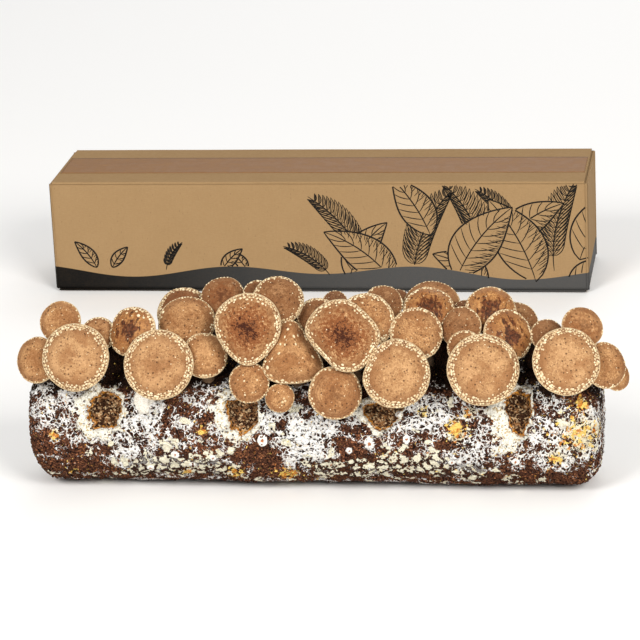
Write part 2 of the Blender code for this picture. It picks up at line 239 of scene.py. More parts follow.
def pit_shape(x, angle, point):
    """A pit's depth and lip in millimetres at a place, and how much of it is inside or lip."""
    wander = noise.noise(point * 160) * 0.22 + noise.noise(point * 420) * 0.16
    for pit_x, pit_angle, width, height, narrowing, lip_left in PITS:
        up = (angle - pit_angle) * MM_PER_DEGREE / (height / 2)
        across = (x - pit_x) / (width / 2) / max(1 + narrowing * min(max(up, -1), 1), 0.3)
        reach = math.hypot(across, up) * (1 + wander)
        if reach < LIP_REACH:
            leftward = max(0.0, -across / max(reach, 0.2))
            lip_width = 0.15 + lip_left * leftward
            inside = 1 - ease(0.86, 1.04, reach)
            depth = PIT_DEPTH * (1 - min(reach, 1) ** 2.4) ** 0.6
            lip_at = (reach - 1 - lip_width * 0.4) / lip_width
            lip = math.exp(-2.2 * lip_at * lip_at)
            return lip * LIP_HEIGHT - depth, inside, lip * (1 - inside)
    return 0.0, 0.0, 0.0


def cell_height(point):
    """How high a crumb stands at a place: 0 in the seams between crumbs, and at most 1."""
    nearest, second = noise.voronoi(point)[0][:2]
    return min((second - nearest) * 2.2, 1.0)


def skin_fields(x, angle, point):
    """Relief in millimetres and the growth at a place: cover, plate and painted shade, amber, lip, pit,
    button.
    """
    depth, pit, lip = pit_shape(x, angle, point)
    broad = noise.noise(point * BROAD_LUMPS + Vector((7, 0, 0)))
    medium = noise.noise(point * MEDIUM_LUMPS)
    cover = MEAN_COVER + 0.14 * broad + 0.18 * medium + 0.58 * near(x, angle, GROWTH)
    # Thinner white under the caps is painted shade as well as thinner growth.
    if -90 < angle < 90:
        cover -= sum(most * ease(start, end, angle) for most, start, end in THINNING_AND_SHADE)
    plate_and_shade = near(x, angle, PLATES) + 0.2 * medium
    # Above the front, under the caps, plate goes negative: the material paints it near-black as shade.
    if 0 < angle < 100:
        plate_and_shade -= 1.2 * ease(36, 54, angle + 8 * broad)
    amber = near(x, angle, AMBER)
    button = 0.0
    for button_x, button_angle, radius in BUTTONS:
        reach = math.hypot(x - button_x, (angle - button_angle) * MM_PER_DEGREE) / radius
        if reach < 1.5:
            depth += BUTTON_HEIGHT * math.exp(-7 * (reach - 0.62) ** 2)
            button = 1 - ease(0.9, 1.25, reach)
            amber += 1.4 * (1 - ease(0.2, 0.5, reach))
    crumb = cell_height(point * CRUMBS_PER_METRE)
    grain = cell_height(point * GRAINS_PER_METRE)
    rough = (1 - 0.45 * min(max(cover, 0), 1)) * (1 - 0.6 * lip) * (1 - 0.8 * button)
    relief = 0.9 * broad + 0.7 * medium
    relief += (crumb - 0.6) * CRUMB_HEIGHT * rough + (grain - 0.5) * GRAIN_HEIGHT * rough
    relief += MAT_HEIGHT * ease(0.45, 0.9, cover) + PLATE_HEIGHT * ease(0.4, 0.7, plate_and_shade)
    relief -= pit * (1 - grain) * 1.4
    return relief + depth, (cover, plate_and_shade, amber), (lip, pit, button)


def along_log(share):
    """The place along the log, the section's inset and its scale for a share of the rows."""
    row = min(share, 1 - share) * ROWS_ALONG
    side = -1 if share < 0.5 else 1
    if row < END_FACE_ROWS:
        return side * LOG_LENGTH / 2, LOG_END_ROUND, row / END_FACE_ROWS
    if row < END_FACE_ROWS + END_BEND_ROWS:
        turn = math.pi / 2 * (row - END_FACE_ROWS) / END_BEND_ROWS
        x = LOG_LENGTH / 2 - LOG_END_ROUND * (1 - math.cos(turn))
        return side * x, LOG_END_ROUND * (1 - math.sin(turn)), 1.0
    straight = ROWS_ALONG / 2 - END_FACE_ROWS - END_BEND_ROWS
    from_middle = (ROWS_ALONG / 2 - row) / straight
    return side * (LOG_LENGTH / 2 - LOG_END_ROUND) * from_middle, 0.0, 1.0


def round_log(share):
    """The clock angle for a share of the rows round the log. Rows lie closest at the front."""
    for (start, before), (end, after) in zip(ROUND_STOPS, ROUND_STOPS[1:]):
        if share <= after:
            return start + (end - start) * (share - before) / (after - before)
    return ROUND_STOPS[-1][0]


def add_object(name, bm):
    """Turn a bmesh into a smooth object that rides with the part."""
    mesh = bpy.data.meshes.new(name)
    bm.to_mesh(mesh)
    bm.free()
    mesh.shade_smooth()
    made = bpy.data.objects.new(name, mesh)
    bpy.context.collection.objects.link(made)
    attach(made, "root")
    return made


def build_log_skin():
    """The log's skin: a grid wrapped round it, closed at both ends, with its relief and growth."""
    bm = bmesh.new()
    bmesh.ops.create_grid(bm, x_segments=ROWS_ALONG, y_segments=ROWS_ROUND, size=0.5)
    growth = bm.verts.layers.float_vector.new("growth")
    wound = bm.verts.layers.float_vector.new("wound")
    angle_of = bm.verts.layers.float.new("clock")
    for vert in bm.verts:
        x, inset, scale = along_log(vert.co.x + 0.5)
        angle = round_log(vert.co.y + 0.5)
        vert[angle_of] = angle
        y, z = log_section(angle, inset)
        point = Vector((x, y * scale, LOG_MIDDLE + (z - LOG_MIDDLE) * scale))
        vert.co = point + (log_skin(x, angle) - Vector((x, *log_section(angle, end_inset(x))))) * scale
    bmesh.ops.remove_doubles(bm, verts=bm.verts, dist=0.02 * MM)
    bmesh.ops.recalc_face_normals(bm, faces=bm.faces)
    bm.normal_update()
    moves = []
    for vert in bm.verts:
        angle = vert[angle_of]
        relief, vert[growth], vert[wound] = skin_fields(vert.co.x / MM, angle, vert.co)
        moves.append((vert, vert.normal * relief * MM))
    for vert, move in moves:
        vert.co += move
        vert.co.z = max(vert.co.z, 0.0)
    return bm


log_skin_piece = add_object("log_skin", build_log_skin())
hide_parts("log")


def new_material(name):
    """An empty material and its node tree."""
    made = bpy.data.materials.new(name)
    made.use_nodes = True
    return made, made.node_tree


class Value:
    """A number that varies over a surface. Arithmetic with it adds Math nodes to its tree."""

    def __init__(self, tree, source):
        self.tree = tree
        self.socket = source.outputs[0] if isinstance(source, bpy.types.Node) else source

    def maths(self, operation, *others):
        """One step of arithmetic with others, each a Value or a plain number."""
        return Value(self.tree, node(self.tree, "Math", self, *others, operation=operation))

    def __add__(self, other):
        return self.maths("ADD", other)

    def __sub__(self, other):
        return self.maths("SUBTRACT", other)

    def __mul__(self, other):
        return self.maths("MULTIPLY", other)

    def step(self, low, high, start=0.0, end=1.0):
        """A soft step from start to end as the value goes from low to high."""
        return Value(self.tree, node(self.tree, "MapRange", self, low, high, start, end,
                                     interpolation_type="SMOOTHSTEP"))


def feed(tree, socket, value):
    """Give a socket a Value, a node's first output, a socket, a number or a vector."""
    if isinstance(value, Value):
        value = value.socket
    elif isinstance(value, bpy.types.Node):
        value = value.outputs[0]
    if isinstance(value, bpy.types.NodeSocket):
        tree.links.new(value, socket)
    elif value is not None:
        socket.default_value = value


def node(tree, kind, *values, **settings):
    """Add a node with its settings, and feed its inputs in order. None leaves an input as it is."""
    made = tree.nodes.new("ShaderNode" + kind)
    for setting, choice in settings.items():
        setattr(made, setting, choice)
    for socket, value in zip(made.inputs, values):
        feed(tree, socket, value)
    return made


def split(tree, vector):
    """The three numbers of a vector or a colour."""
    return [Value(tree, part) for part in node(tree, "SeparateXYZ", vector).outputs]


def attribute(tree, name):
    """What a mesh attribute holds at each point."""
    read = tree.nodes.new("ShaderNodeAttribute")
    read.attribute_name = name
    return read.outputs["Vector"]


def scaled(tree, vector, factors):
    """A vector with its three parts multiplied by factors."""
    return node(tree, "VectorMath", vector, factors, operation="MULTIPLY")


def millimetres(tree):
    """Places on the piece in millimetres."""
    return scaled(tree, tree.nodes.new("ShaderNodeTexCoord").outputs["Object"], (1 / MM,) * 3)


def clouds(tree, place, scale, detail, roughness):
    """Soft noise. Its scale is in lumps per millimetre."""
    return Value(tree, node(tree, "TexNoise", place, None, scale, detail, roughness))


def cells(tree, place, scale, detail=0.0):
    """Cells: the distance from each cell's middle, and three random numbers for the cell."""
    made = node(tree, "TexVoronoi", place, None, scale, detail)
    return Value(tree, made), split(tree, made.outputs["Color"])


def seams(tree, place, scale):
    """The distance from the seams between cells."""
    return Value(tree, node(tree, "TexVoronoi", place, None, scale, feature="DISTANCE_TO_EDGE"))


def tint(tree, share, first, second, way="MIX"):
    """Two colours mixed by a share."""
    made = node(tree, "Mix", data_type="RGBA", blend_type=way, clamp_factor=True)
    feed(tree, made.inputs[0], share)
    for socket, colour in ((made.inputs[6], first), (made.inputs[7], second)):
        feed(tree, socket, (*colour, 1) if isinstance(colour, tuple) else colour)
    return made.outputs[2]


def coated(tree, colour, coats):
    """Colours laid over a colour one by one, each up to its most as a value goes low to high."""
    for value, low, high, most, coat in coats:
        colour = tint(tree, value.step(low, high, 0.0, most), colour, coat)
    return colour


def finish_surface(made, colour, roughness, specular, relief=None, depth=0.0, strength=1.0):
    """Feed a material's shader: its colour, its roughness, and its relief as bumps of a depth."""
    tree = made.node_tree
    shader = tree.nodes["Principled BSDF"]
    feed(tree, shader.inputs["Base Color"], colour)
    feed(tree, shader.inputs["Roughness"], roughness)
    shader.inputs["Specular IOR Level"].default_value = specular
    if relief:
        bump = tree.nodes.new("ShaderNodeBump")
        bump.inputs["Strength"].default_value = strength
        bump.inputs["Distance"].default_value = depth
        feed(tree, bump.inputs["Height"], relief)
        tree.links.new(bump.outputs["Normal"], shader.inputs["Normal"])
    return made


def group_sockets(group, inputs, outputs):
    """Name a node group's inputs, each with its kind, and its outputs, which are numbers."""
    for name, kind in inputs:
        group.interface.new_socket(name, in_out="INPUT", socket_type=kind)
    for name in outputs:
        group.interface.new_socket(name, in_out="OUTPUT", socket_type="NodeSocketFloat")
    return group.nodes.new("NodeGroupInput").outputs, group.nodes.new("NodeGroupOutput").inputs


def from_group(tree, group, **given):
    """Place a node group in a material and feed it. Its outputs come in order."""
    made = tree.nodes.new("ShaderNodeGroup")
    made.node_tree = group
    for name, value in given.items():
        feed(tree, made.inputs[name], value)
    return [Value(tree, output) for output in made.outputs]


def build_lace_group():
    """White fungus threads: curling strands that thicken to a mat, pierced by round dark holes."""
    group = bpy.data.node_groups.new("mycelium_lace", "ShaderNodeTree")
    given, out = group_sockets(group, (("Place", "NodeSocketVector"), ("Cover", "NodeSocketFloat")),
                               ("Lace", "Thick"))
    place = given["Place"]
    swirl = node(group, "TexNoise", place, None, 0.20, 1.0, 0.5)
    sway = node(group, "VectorMath", swirl.outputs["Color"], (0.5, 0.5, 0.5), operation="SUBTRACT")
    sway = node(group, "VectorMath", sway, (4.0, 4.0, 4.0), place, operation="MULTIPLY_ADD")
    cover = clouds(group, place, 0.10, 3.0, 0.6) * 2.0 - 1.0 + given["Cover"]
    curls = (clouds(group, sway, 0.27, 1.0, 0.5) - 0.5).maths("ABSOLUTE")
    pores = cells(group, sway, 0.265, 1.0)[0]
    flecks, fleck_pick = cells(group, place, 0.33, 1.0)
    strands = (cover * 0.38 - 0.075).maths("MINIMUM", 0.22) - seams(group, sway, 0.23)
    curled = (cover * 0.14 - 0.03).maths("MINIMUM", 0.075) - curls
    strands = strands.maths("MAXIMUM", curled * 1.5)
    strands = strands.maths("MINIMUM", pores + (cover * 0.14 - 0.56))
    fleck = cover * 0.08 + 0.20 - flecks - fleck_pick[0].step(0.52, 0.50)
    strands = strands.maths("MAXIMUM", fleck)
    strands = strands + (clouds(group, place, 0.9, 2.0, 0.5) * 0.12 - 0.06)
    feed(group, out["Lace"], strands.step(-0.005, 0.02))
    feed(group, out["Thick"], strands.step(0.0, 0.18))
    return group


lace_group = build_lace_group()


def build_sawdust():
    """Sawdust crumbs, threads, plates, amber drops, and the spongy pits with their cream lips."""
    made, tree = new_material("sawdust_and_threads")
    place = millimetres(tree)
    cover, plate_and_shade, amber = split(tree, attribute(tree, "growth"))
    lip, pit, button = split(tree, attribute(tree, "wound"))
    crumbs, crumb_pick = cells(tree, place, 0.36, 1.0)
    chip_pick = cells(tree, place, 0.8)[1]
    grain = clouds(tree, place, 1.1, 4.0, 0.65)
    broad = clouds(tree, place, 0.07, 3.0, 0.55)
    wavy = clouds(tree, place, 0.34, 3.0, 0.6)
    cracks = seams(tree, place, 0.45)

    brown = tint(tree, crumb_pick[0].step(0.1, 0.9), (0.040, 0.016, 0.010), (0.17, 0.062, 0.031))
    # Dark patches, fine dust, pale chips, black chips, cracks, painted near-black shade under the caps,
    # and painted shade in the holes where the threads lie thick.
    brown = coated(tree, brown, (
        (broad, 0.35, 0.65, 1.0, (0.070, 0.028, 0.017)),
        (grain, 0.42, 0.62, 0.75, (0.20, 0.078, 0.040)),
        (chip_pick[1], 0.80, 0.86, 1.0, (0.38, 0.15, 0.065)),
        (chip_pick[2], 0.20, 0.12, 1.0, (0.010, 0.005, 0.004)),
        (cracks, 0.12, 0.0, 0.9, (0.006, 0.003, 0.003)),
        # Negative plate: painted shade under the caps.
        (plate_and_shade, -0.15, -0.8, 0.88, (0.010, 0.006, 0.004)),
        # Thick threads darken the ground that shows through their holes: painted shade.
        (cover, 0.15, 0.6, 0.72, (0.008, 0.004, 0.003)),
    ))
    lace, thick = from_group(tree, lace_group, Place=place, Cover=cover)
    white = tint(tree, chip_pick[2].step(0.66, 0.80), (1.0, 0.99, 0.965), (0.84, 0.78, 0.70))
    colour = tint(tree, lace, brown, white)
    colour = tint(tree, amber.step(0.08, 0.5, 0.0, 0.75) * lace, colour, (0.93, 0.80, 0.50))

    plate_pick = cells(tree, place, 0.125)[1][0]
    plate_here = seams(tree, place, 0.125) + (wavy * 0.9 - 0.56)
    plate_here = plate_here + (plate_and_shade + plate_pick).step(0.95, 0.93, 0.0, -1.0)
    plate_mask = plate_here.maths("MINIMUM", crumbs * 0.6 - 0.13).step(0.0, 0.02)
    plate_colour = tint(tree, grain.step(0.45, 0.62), (0.90, 0.85, 0.68), (0.76, 0.69, 0.50))
    colour = coated(tree, colour, ((plate_and_shade, 0.25, 0.6, 0.75, (0.035, 0.015, 0.009)),))
    colour = tint(tree, plate_mask, colour, plate_colour)
    amber_here = amber + (wavy * 1.4 - 0.7) - crumb_pick[1] * 0.75
    amber_colour = tint(tree, crumb_pick[2].step(0.35, 0.75), (0.66, 0.22, 0.03), (0.96, 0.68, 0.17))

    sponge = tint(tree, grain.step(0.40, 0.60), (0.46, 0.24, 0.10), (0.17, 0.066, 0.026))
    # Dark pores and patchy deep hollows, both painted shade inside the pits, and pale flecks.
    sponge = coated(tree, sponge, (
        (seams(tree, place, 0.36), 0.07, 0.24, 1.0, (0.022, 0.010, 0.007)),
        (clouds(tree, place, 0.17, 2.0, 0.5), 0.45, 0.55, 0.85, (0.035, 0.014, 0.008)),
        (chip_pick[0], 0.80, 0.88, 1.0, (0.66, 0.46, 0.26)),
    ))
    rusty = pit.step(0.995, 0.80) * wavy.step(0.42, 0.52)
    sponge = tint(tree, rusty, sponge, (0.72, 0.30, 0.045))
    lip_here = lip + (grain * 0.9 - 0.45) + (wavy * 1.3 - 0.65)
    lip_colour = tint(tree, chip_pick[1].step(0.72, 0.86), (0.92, 0.89, 0.78), (0.62, 0.48, 0.28))
    button_colour = tint(tree, amber.step(0.5, 0.9), (0.98, 0.96, 0.90), (0.50, 0.19, 0.08))
    # Amber drops, the pits' sponge, their lips, and the buttons.
    colour = coated(tree, colour, (
        (amber_here, 0.0, 0.06, 0.9, amber_colour),
        (pit, 0.35, 0.6, 1.0, sponge),
        (lip_here, 0.36, 0.44, 1.0, lip_colour),
        (button, 0.3, 0.6, 1.0, button_colour),
    ))
    relief = thick * 0.9 + grain * 0.6 + cracks.step(0.0, 0.3, 0.0, 0.7) + plate_mask * 0.7
    return finish_surface(made, colour, grain.step(0.2, 0.8, 0.98, 0.78), 0.08, relief, 1.1 * MM)


# Loose crumbs and slivers of sawdust and tufts of thread stand out of the skin, and a dark crust fills
# the gaps under the caps, painted near-black as their shade.
CRUMB_SEED = 41
CRUMB_BATCH = 150
CRUMBS = 6600
CRUMBS_ALONG = (-206, 206)
CRUMBS_ROUND = (-80, 262)
CRUMB_RADIUS = (0.55, 1.35)
CRUMB_SINK = 0.1
SHADE_CRUST_CLUMPS = 330
SHADE_CRUST_ALONG = (-190, 200)
SHADE_CRUST_ROUND = (54, 92)
SHADE_CRUST_RADIUS = (2.6, 6.0)
SHADE_CRUST_SINK = 0.3
# What the crust and the stumps carry for growth: no cover, no plates, no amber, and a plate value of -1
# that paints them near-black as shade.
BARE_IN_PAINTED_SHADE = (-0.4, -1, 0)
# Dark stumps between the stems, painted near-black as the shade in the gaps under the caps: x, y, top
# and radius in millimetres.
SHADE_STUMPS = (
    (98, -16, 115, 8), (163, -16, 114, 7), (62, -20, 119, 8), (-10, -16, 128, 7.5),
    (-146, -23, 109, 8), (-70, -19, 119, 8),
)
SHADE_STUMP_FOOT = 84
# The middle of the white tufts round the foot of the one stem that shows: x and clock angle.
WHITE_FOOT = (-120, 24)
TUFTS = 70
TUFT_REACH = (8.0, 13.0)


def crumb_places(dice):
    """Where crumbs, the shade crust and tufts lie: whether a crumb is shade crust, its x and its clock
    angle.
    """
    places = [(False, dice.uniform(*CRUMBS_ALONG), dice.uniform(*CRUMBS_ROUND))
              for _ in range(CRUMBS)]
    places += [(True, dice.uniform(*SHADE_CRUST_ALONG), dice.uniform(*SHADE_CRUST_ROUND))
               for _ in range(SHADE_CRUST_CLUMPS)]
    for _ in range(TUFTS):
        turn, reach = dice.uniform(0, math.tau), dice.uniform(*TUFT_REACH)
        places.append((False, WHITE_FOOT[0] + math.cos(turn) * reach,
                       WHITE_FOOT[1] + math.sin(turn) * reach * 0.9 / MM_PER_DEGREE))
    return places


def add_shade_stump(bm, growth, x, y, top, radius):
    """One stump of painted shade: an upright lump with a rough, swollen skin."""
    middle = Vector((x, y, (top + SHADE_STUMP_FOOT) / 2)) * MM
    stretch = (top - SHADE_STUMP_FOOT) / radius / 2
    for vert in bmesh.ops.create_icosphere(bm, subdivisions=3, radius=radius * MM)["verts"]:
        swell = noise.noise(vert.co * 260 + middle * 90) * 0.45 + noise.noise(vert.co * 700) * 0.25
        vert.co = middle + Vector((vert.co.x, vert.co.y, vert.co.z * stretch)) * (1 + swell)
        vert[growth] = BARE_IN_PAINTED_SHADE


def build_log_crumbs():
    """All the crumbs as one mesh, made in small batches, each crumb with its place's growth."""
    dice = random.Random(CRUMB_SEED)
    places = crumb_places(dice)
    whole = bmesh.new()
    growth = whole.verts.layers.float_vector.new("growth")
    whole.verts.layers.float_vector.new("wound")
    for shade_stump in SHADE_STUMPS:
        add_shade_stump(whole, growth, *shade_stump)
    for first in range(0, len(places), CRUMB_BATCH):
        bm = bmesh.new()
        growth = bm.verts.layers.float_vector.new("growth")
        wound = bm.verts.layers.float_vector.new("wound")
        for shade_crust, x, angle in places[first:first + CRUMB_BATCH]:
            point = log_skin(x * MM, angle)
            relief, (cover, plate_and_shade, amber), (_, pit, _) = skin_fields(x, angle, point)
            # Crumbs keep the painted shade under the caps, but no plates.
            grown = BARE_IN_PAINTED_SHADE if shade_crust else (cover + 0.06, min(plate_and_shade, 0), amber)
            size = dice.uniform(*(SHADE_CRUST_RADIUS if shade_crust else CRUMB_RADIUS))
            shape = (1, dice.uniform(0.5, 1), dice.uniform(0.45, 0.9), 1)
            turn = dice.uniform(0, math.tau)
            turn = Matrix.Rotation(turn, 4, Vector([dice.uniform(-1, 1) for _ in "xyz"]))
            out = clock_direction(angle)
            place = point + out * (relief - (SHADE_CRUST_SINK if shade_crust else CRUMB_SINK) * size) * MM
            matrix = Matrix.Translation(place) @ turn @ Matrix.Diagonal(shape)
            made = bmesh.ops.create_icosphere(bm, subdivisions=1, radius=size * MM, matrix=matrix)
            for vert in made["verts"]:
                vert.co += out * noise.noise(vert.co * 900) * 0.4 * size * MM
                vert.co.z = max(vert.co.z, 0.1 * MM)
                vert[growth] = grown
                vert[wound] = (0, pit, 0)
        batch = bpy.data.meshes.new("crumb_batch")
        bm.to_mesh(batch)
        bm.free()
        whole.from_mesh(batch)
        bpy.data.meshes.remove(batch)
    piece = add_object("log_crumbs", whole)
    return piece


sawdust = build_sawdust()
log_skin_piece.data.materials.append(sawdust)
build_log_crumbs().data.materials.append(sawdust)

# Each shiitake grew as one piece: a domed cap with an inrolled rim, crowded gills below and a
# tough pale stem that bends out of the log. The skin dries tan to brown, some with a stained
# middle, and splits near the rim into rows of cream scales.
# Name, cap rim's middle (x, y, z) and width, turn and lift of its facing, root's shift along
# and clock angle, then the looks: stained middle, tone from brown to pale, rows of scales.
MUSHROOMS = (
    ("left_01", -198, -39, 103, 34, -18, 24, 5, 56, 0.0, -0.05, 0.7),
    ("left_02", -182, -26, 128, 31, -6, 30, 0, 70, 0.0, 0.0, 0.3),
    ("left_03", -167, -49, 109, 49, 2, 22, 1, 50, 0.05, 0.75, 2.9),
    ("left_04", -154, -27, 119, 26, 4, 34, 0, 68, 0.1, -0.35, 1.8),
    ("left_05", -127, -35, 124, 37, -18, 30, -1, 62, 0.3, 0.05, 1.7),
    ("left_06", -105, -53, 105, 50, 8, 21, -15, 27, 0.12, 0.65, 2.9),
    ("left_07", -97, 7, 125, 39, 4, 42, 0, 96, 0.5, -0.8, 2.9),
    ("left_08", -90, -18, 125, 42, 6, 44, 1, 78, 0.1, -0.1, 1.1),
    ("left_09", -74, -38, 107, 33, 10, 26, 0, 57, 0.0, 0.3, 1.4),
    ("left_10", -66, 3, 137, 33, 8, 38, 0, 90, 0.6, -0.6, 0.5),
    ("middle_01", -40, -44, 129, 52, 4, 20, -2, 66, 1.0, 0.3, 2.1),
    ("middle_02", -39, -7, 144, 20, 6, 36, -1, 88, 0.0, -0.8, 1.4),
    ("middle_03", -21, -22, 144, 37, 12, 40, 0, 78, 0.1, -0.5, 2.0),
    ("middle_04", -40, -51, 91, 29, 6, 16, 1, 47, 0.0, 0.05, 0.6),
    ("middle_05", -18, -52, 80, 21, 12, 14, 1, 32, 0.0, 0.1, 0.4),
    ("middle_06", -9, -42, 110, 50, 8, 24, 0, 56, 0.1, -0.05, 0.8),
    ("middle_07", 23, -57, 86, 38, 10, 14, -5, 27, 0.3, 0.3, 0.9),
    ("middle_08", 6, -17, 129, 31, 5, 38, 0, 80, 0.0, -0.6, 3.0),
    ("middle_09", 29, -50, 125, 56, 8, 24, 1, 58, 1.0, 0.45, 2.0),
    ("middle_10", 17, 0, 136, 18, 10, 52, 0, 94, 0.0, -0.9, 0.6),
    ("middle_11", 44, -32, 132.5, 40, 12, 30, 0, 71, 0.0, 0.0, 2.2),
    ("middle_12", 54, -11, 138, 28, 14, 38, 0, 84, 0.0, -0.6, 1.0),
    ("middle_13", 60, 19, 131, 18, 10, 50, 1, 104, 0.0, -0.8, 0.6),
    ("middle_14", 67, -56, 101, 49, 10, 20, 9, 46, 0.0, 0.6, 2.9),
    ("middle_15", 80, -33, 123, 38, 14, 32, 1, 64, 0.0, 0.2, 1.7),
    ("middle_16", 87, -11, 133, 37, 16, 44, 0, 80, 0.3, 0.05, 1.4),
    ("middle_17", 86, 13, 128, 42, 8, 46, 0, 101, 0.1, -0.35, 0.6),
    ("right_01", 111, -25, 125, 30, -14, 30, 0, 70, 0.3, -0.5, 0.5),
    ("right_02", 112, 0, 128, 20, 5, 45, 1, 92, 0.0, -0.9, 0.8),
    ("right_03", 131, -8, 132, 37, 12, 40, 0, 84, 0.3, 0.05, 1.1),
    ("right_04", 149, 6, 118, 32, 30, 36, 1, 96, 0.0, -0.5, 0.8),
    ("right_05", 145, -26, 120, 37, 32, 30, 1, 68, 0.3, 0.05, 1.4),
    ("right_06", 115, -40, 115, 25, 2, 26, 2, 52, 0.0, -0.4, 1.6),
    ("right_07", 129, -53, 103, 51, 12, 22, 0, 48, 0.05, 0.65, 2.9),
    ("right_08", 172, -18, 117, 24, 16, 34, 0, 72, 0.1, -0.65, 0.8),
    ("right_09", 188, -51, 109, 48, 14, 24, -2, 50, 0.05, 0.8, 2.9),
    ("right_10", 198, -29, 127, 30, 22, 34, -3, 66, 0.35, -0.1, 0.3),
    ("right_11", 214, -34, 100, 33, 36, 26, -15, 60, 0.0, 0.15, 0.9),
    ("right_12", 221, -16, 86, 22, 40, 22, -22, 68, 0.0, 0.0, 0.4),
)
GOLDEN = ("left_05", "middle_16", "right_03", "right_05")
RINGED = ("middle_07",)
PALE_STEMS = ("left_06",)
# Straight sides where caps grew against each other: cap's clock angle, share of its radius.
PRESSED = {
    "middle_01": ((188, 0.96), (220, 0.88), (318, 0.87), (352, 0.96)),
    "middle_06": ((153, 0.70), (30, 0.63), (270, 0.86)),
    "middle_09": ((220, 0.69), (40, 0.90), (266, 0.90), (327, 0.90)),
    "middle_14": ((146, 0.88),),
}
PRESS_SHARPNESS = 9
# Large single warts: share of the radius, clock angle and size in millimetres.
WARTS = {
    "middle_06": ((0.72, 98, 1.3), (0.58, 112, 1.1), (0.52, 82, 1.4), (0.66, 70, 1.0),
                  (0.85, 92, 1.1), (0.42, 128, 1.0), (0.70, 192, 1.2), (0.72, -12, 1.6),
                  (0.84, 207, 1.7), (0.36, 66, 1.1), (0.60, 140, 1.2), (0.50, 178, 1.3)),
    "middle_05": ((0.30, -60, 1.4), (0.40, -30, 1.1), (0.26, -5, 1.0), (0.5, -80, 0.8)),
    "middle_04": ((0.25, 150, 0.9), (0.45, 20, 0.8), (0.6, 250, 0.9), (0.5, -70, 0.8)),
    "left_05": ((0.72, 112, 1.3), (0.68, 66, 1.6), (0.80, 82, 1.4), (0.76, 48, 1.2)),
    "middle_11": ((0.60, 100, 1.1), (0.72, 70, 1.0)),
}
# The dome: its height as a share of the radius, how far it leans, how flat its middle is, and
# the least and most that one cap is plumper than another.
CROWN = 0.31
CROWN_LEAN = 0.05
DOME_POWER = 3.1
PLUMPNESS = (0.9, 1.12)
# The rings of faces on a cap's top: millimetres apart, the fewest, and how far out they go.
RING_SPACING = 0.95
FEWEST_RINGS = 9
TOP_REACH = 0.988
# The rim's roll, then the gills' face in to the stem: out and up, as shares of the radius.
RIM_ROLL = ((1.0, -0.012), (1.01, -0.04), (1.004, -0.075), (0.98, -0.11), (0.945, -0.138),
            (0.905, -0.148), (0.87, -0.138), (0.85, -0.112), (0.835, -0.088))
GILL_FACE = ((0.81, -0.078), (0.72, -0.076), (0.62, -0.08), (0.52, -0.086), (0.42, -0.094),
             (0.33, -0.106), (0.265, -0.128), (0.225, -0.158))
GILL_DEPTH = 0.026
# The gills' face has its middle and half its width here, as shares of the radius.
GILL_MIDDLE, GILL_HALF = 0.53, 0.32
# Past the turn of its rim the cap's skin is marked as lying further out by this.
UNDER_RIM = 0.12
# The stem: shares of its length where it has rings, its radius and where it starts on the cap's
# axis as shares of the cap's radius, how deep it is rooted, and how it bends and spreads.
STEM_SHARES = (0.12, 0.22, 0.33, 0.44, 0.55, 0.66, 0.76, 0.85, 0.93, 1.0)
STEM_SHARE = 0.19
STEM_MIN_RADIUS = 2.6
STEM_START = -0.11
ROOT_SINK = 5.5
STEM_PULL_AT_CAP = 0.28
STEM_PULL_AT_LOG = 0.42
FOOT_SPREAD = 0.55
# A pale stem shows: it is rooted deeper, leaves the log upward and has a broad ragged foot.
PALE_FOOT_SPREAD = 0.85
PALE_ROOT_SINK = 2.5
# Faces round a cap's rim and scales in a row are this many millimetres apart.
CAP_CELL = 1.25
SCALE_SPACING = 2.35
# Rows of scales: share of the radius, size in millimetres, and the share of places filled.
SCALE_ROWS = ((0.965, 0.88, 0.97), (0.90, 1.12, 0.9), (0.832, 0.98, 0.72), (0.765, 0.72, 0.4))
# A scale's length outward and its rise over the skin, as shares of its size, and what it
# carries to tell it from the skin: at its middle, and how much more at its top.
SCALE_OUTWARD, SCALE_RISE = 0.85, 0.52
SCALE_MARK, SCALE_TOP_MARK = 0.62, 0.38
# Freckles strewn over the cap: how far out as the square of a share, and their size.
FRECKLES_OUT, FRECKLE_SIZE = (0.1, 0.72), (0.3, 0.62)
PART_CAP, PART_GILLS, PART_STEM = 0.0, 1.0, 2.0


def cap_reach(clock, flats):
    """How far the cap's edge reaches at a clock angle, less than 1 where it was pressed flat."""
    total = 1.0
    for flat_at, reach in flats:
        toward = math.cos(math.radians(clock - flat_at))
        if toward > 0:
            total += (toward / reach) ** PRESS_SHARPNESS
    return total ** (-1 / PRESS_SHARPNESS)


def cap_height(out):
    """The dome's height over the rim, as a share of the radius."""
    return CROWN * (1 - out ** DOME_POWER)


def turned_profile(bm, profile, steps):
    """Turn a profile of (out, up) points full circle about Z. Each point keeps its number."""
    number = bm.verts.layers.int.new("number")
    chain = []
    for index, (out, up) in enumerate(profile):
        vert = bmesh.ops.create_vert(bm, co=(out, 0, up))["vert"][0]
        vert[number] = index
        chain.append(vert)
    edges = [bm.edges.new(pair) for pair in zip(chain, chain[1:])]
    bmesh.ops.spin(bm, geom=chain + edges, cent=(0, 0, 0), axis=(0, 0, 1), dvec=(0, 0, 0),
                   angle=math.tau, steps=steps, use_merge=True)
    bmesh.ops.remove_doubles(bm, verts=bm.verts, dist=1e-5)
    return number


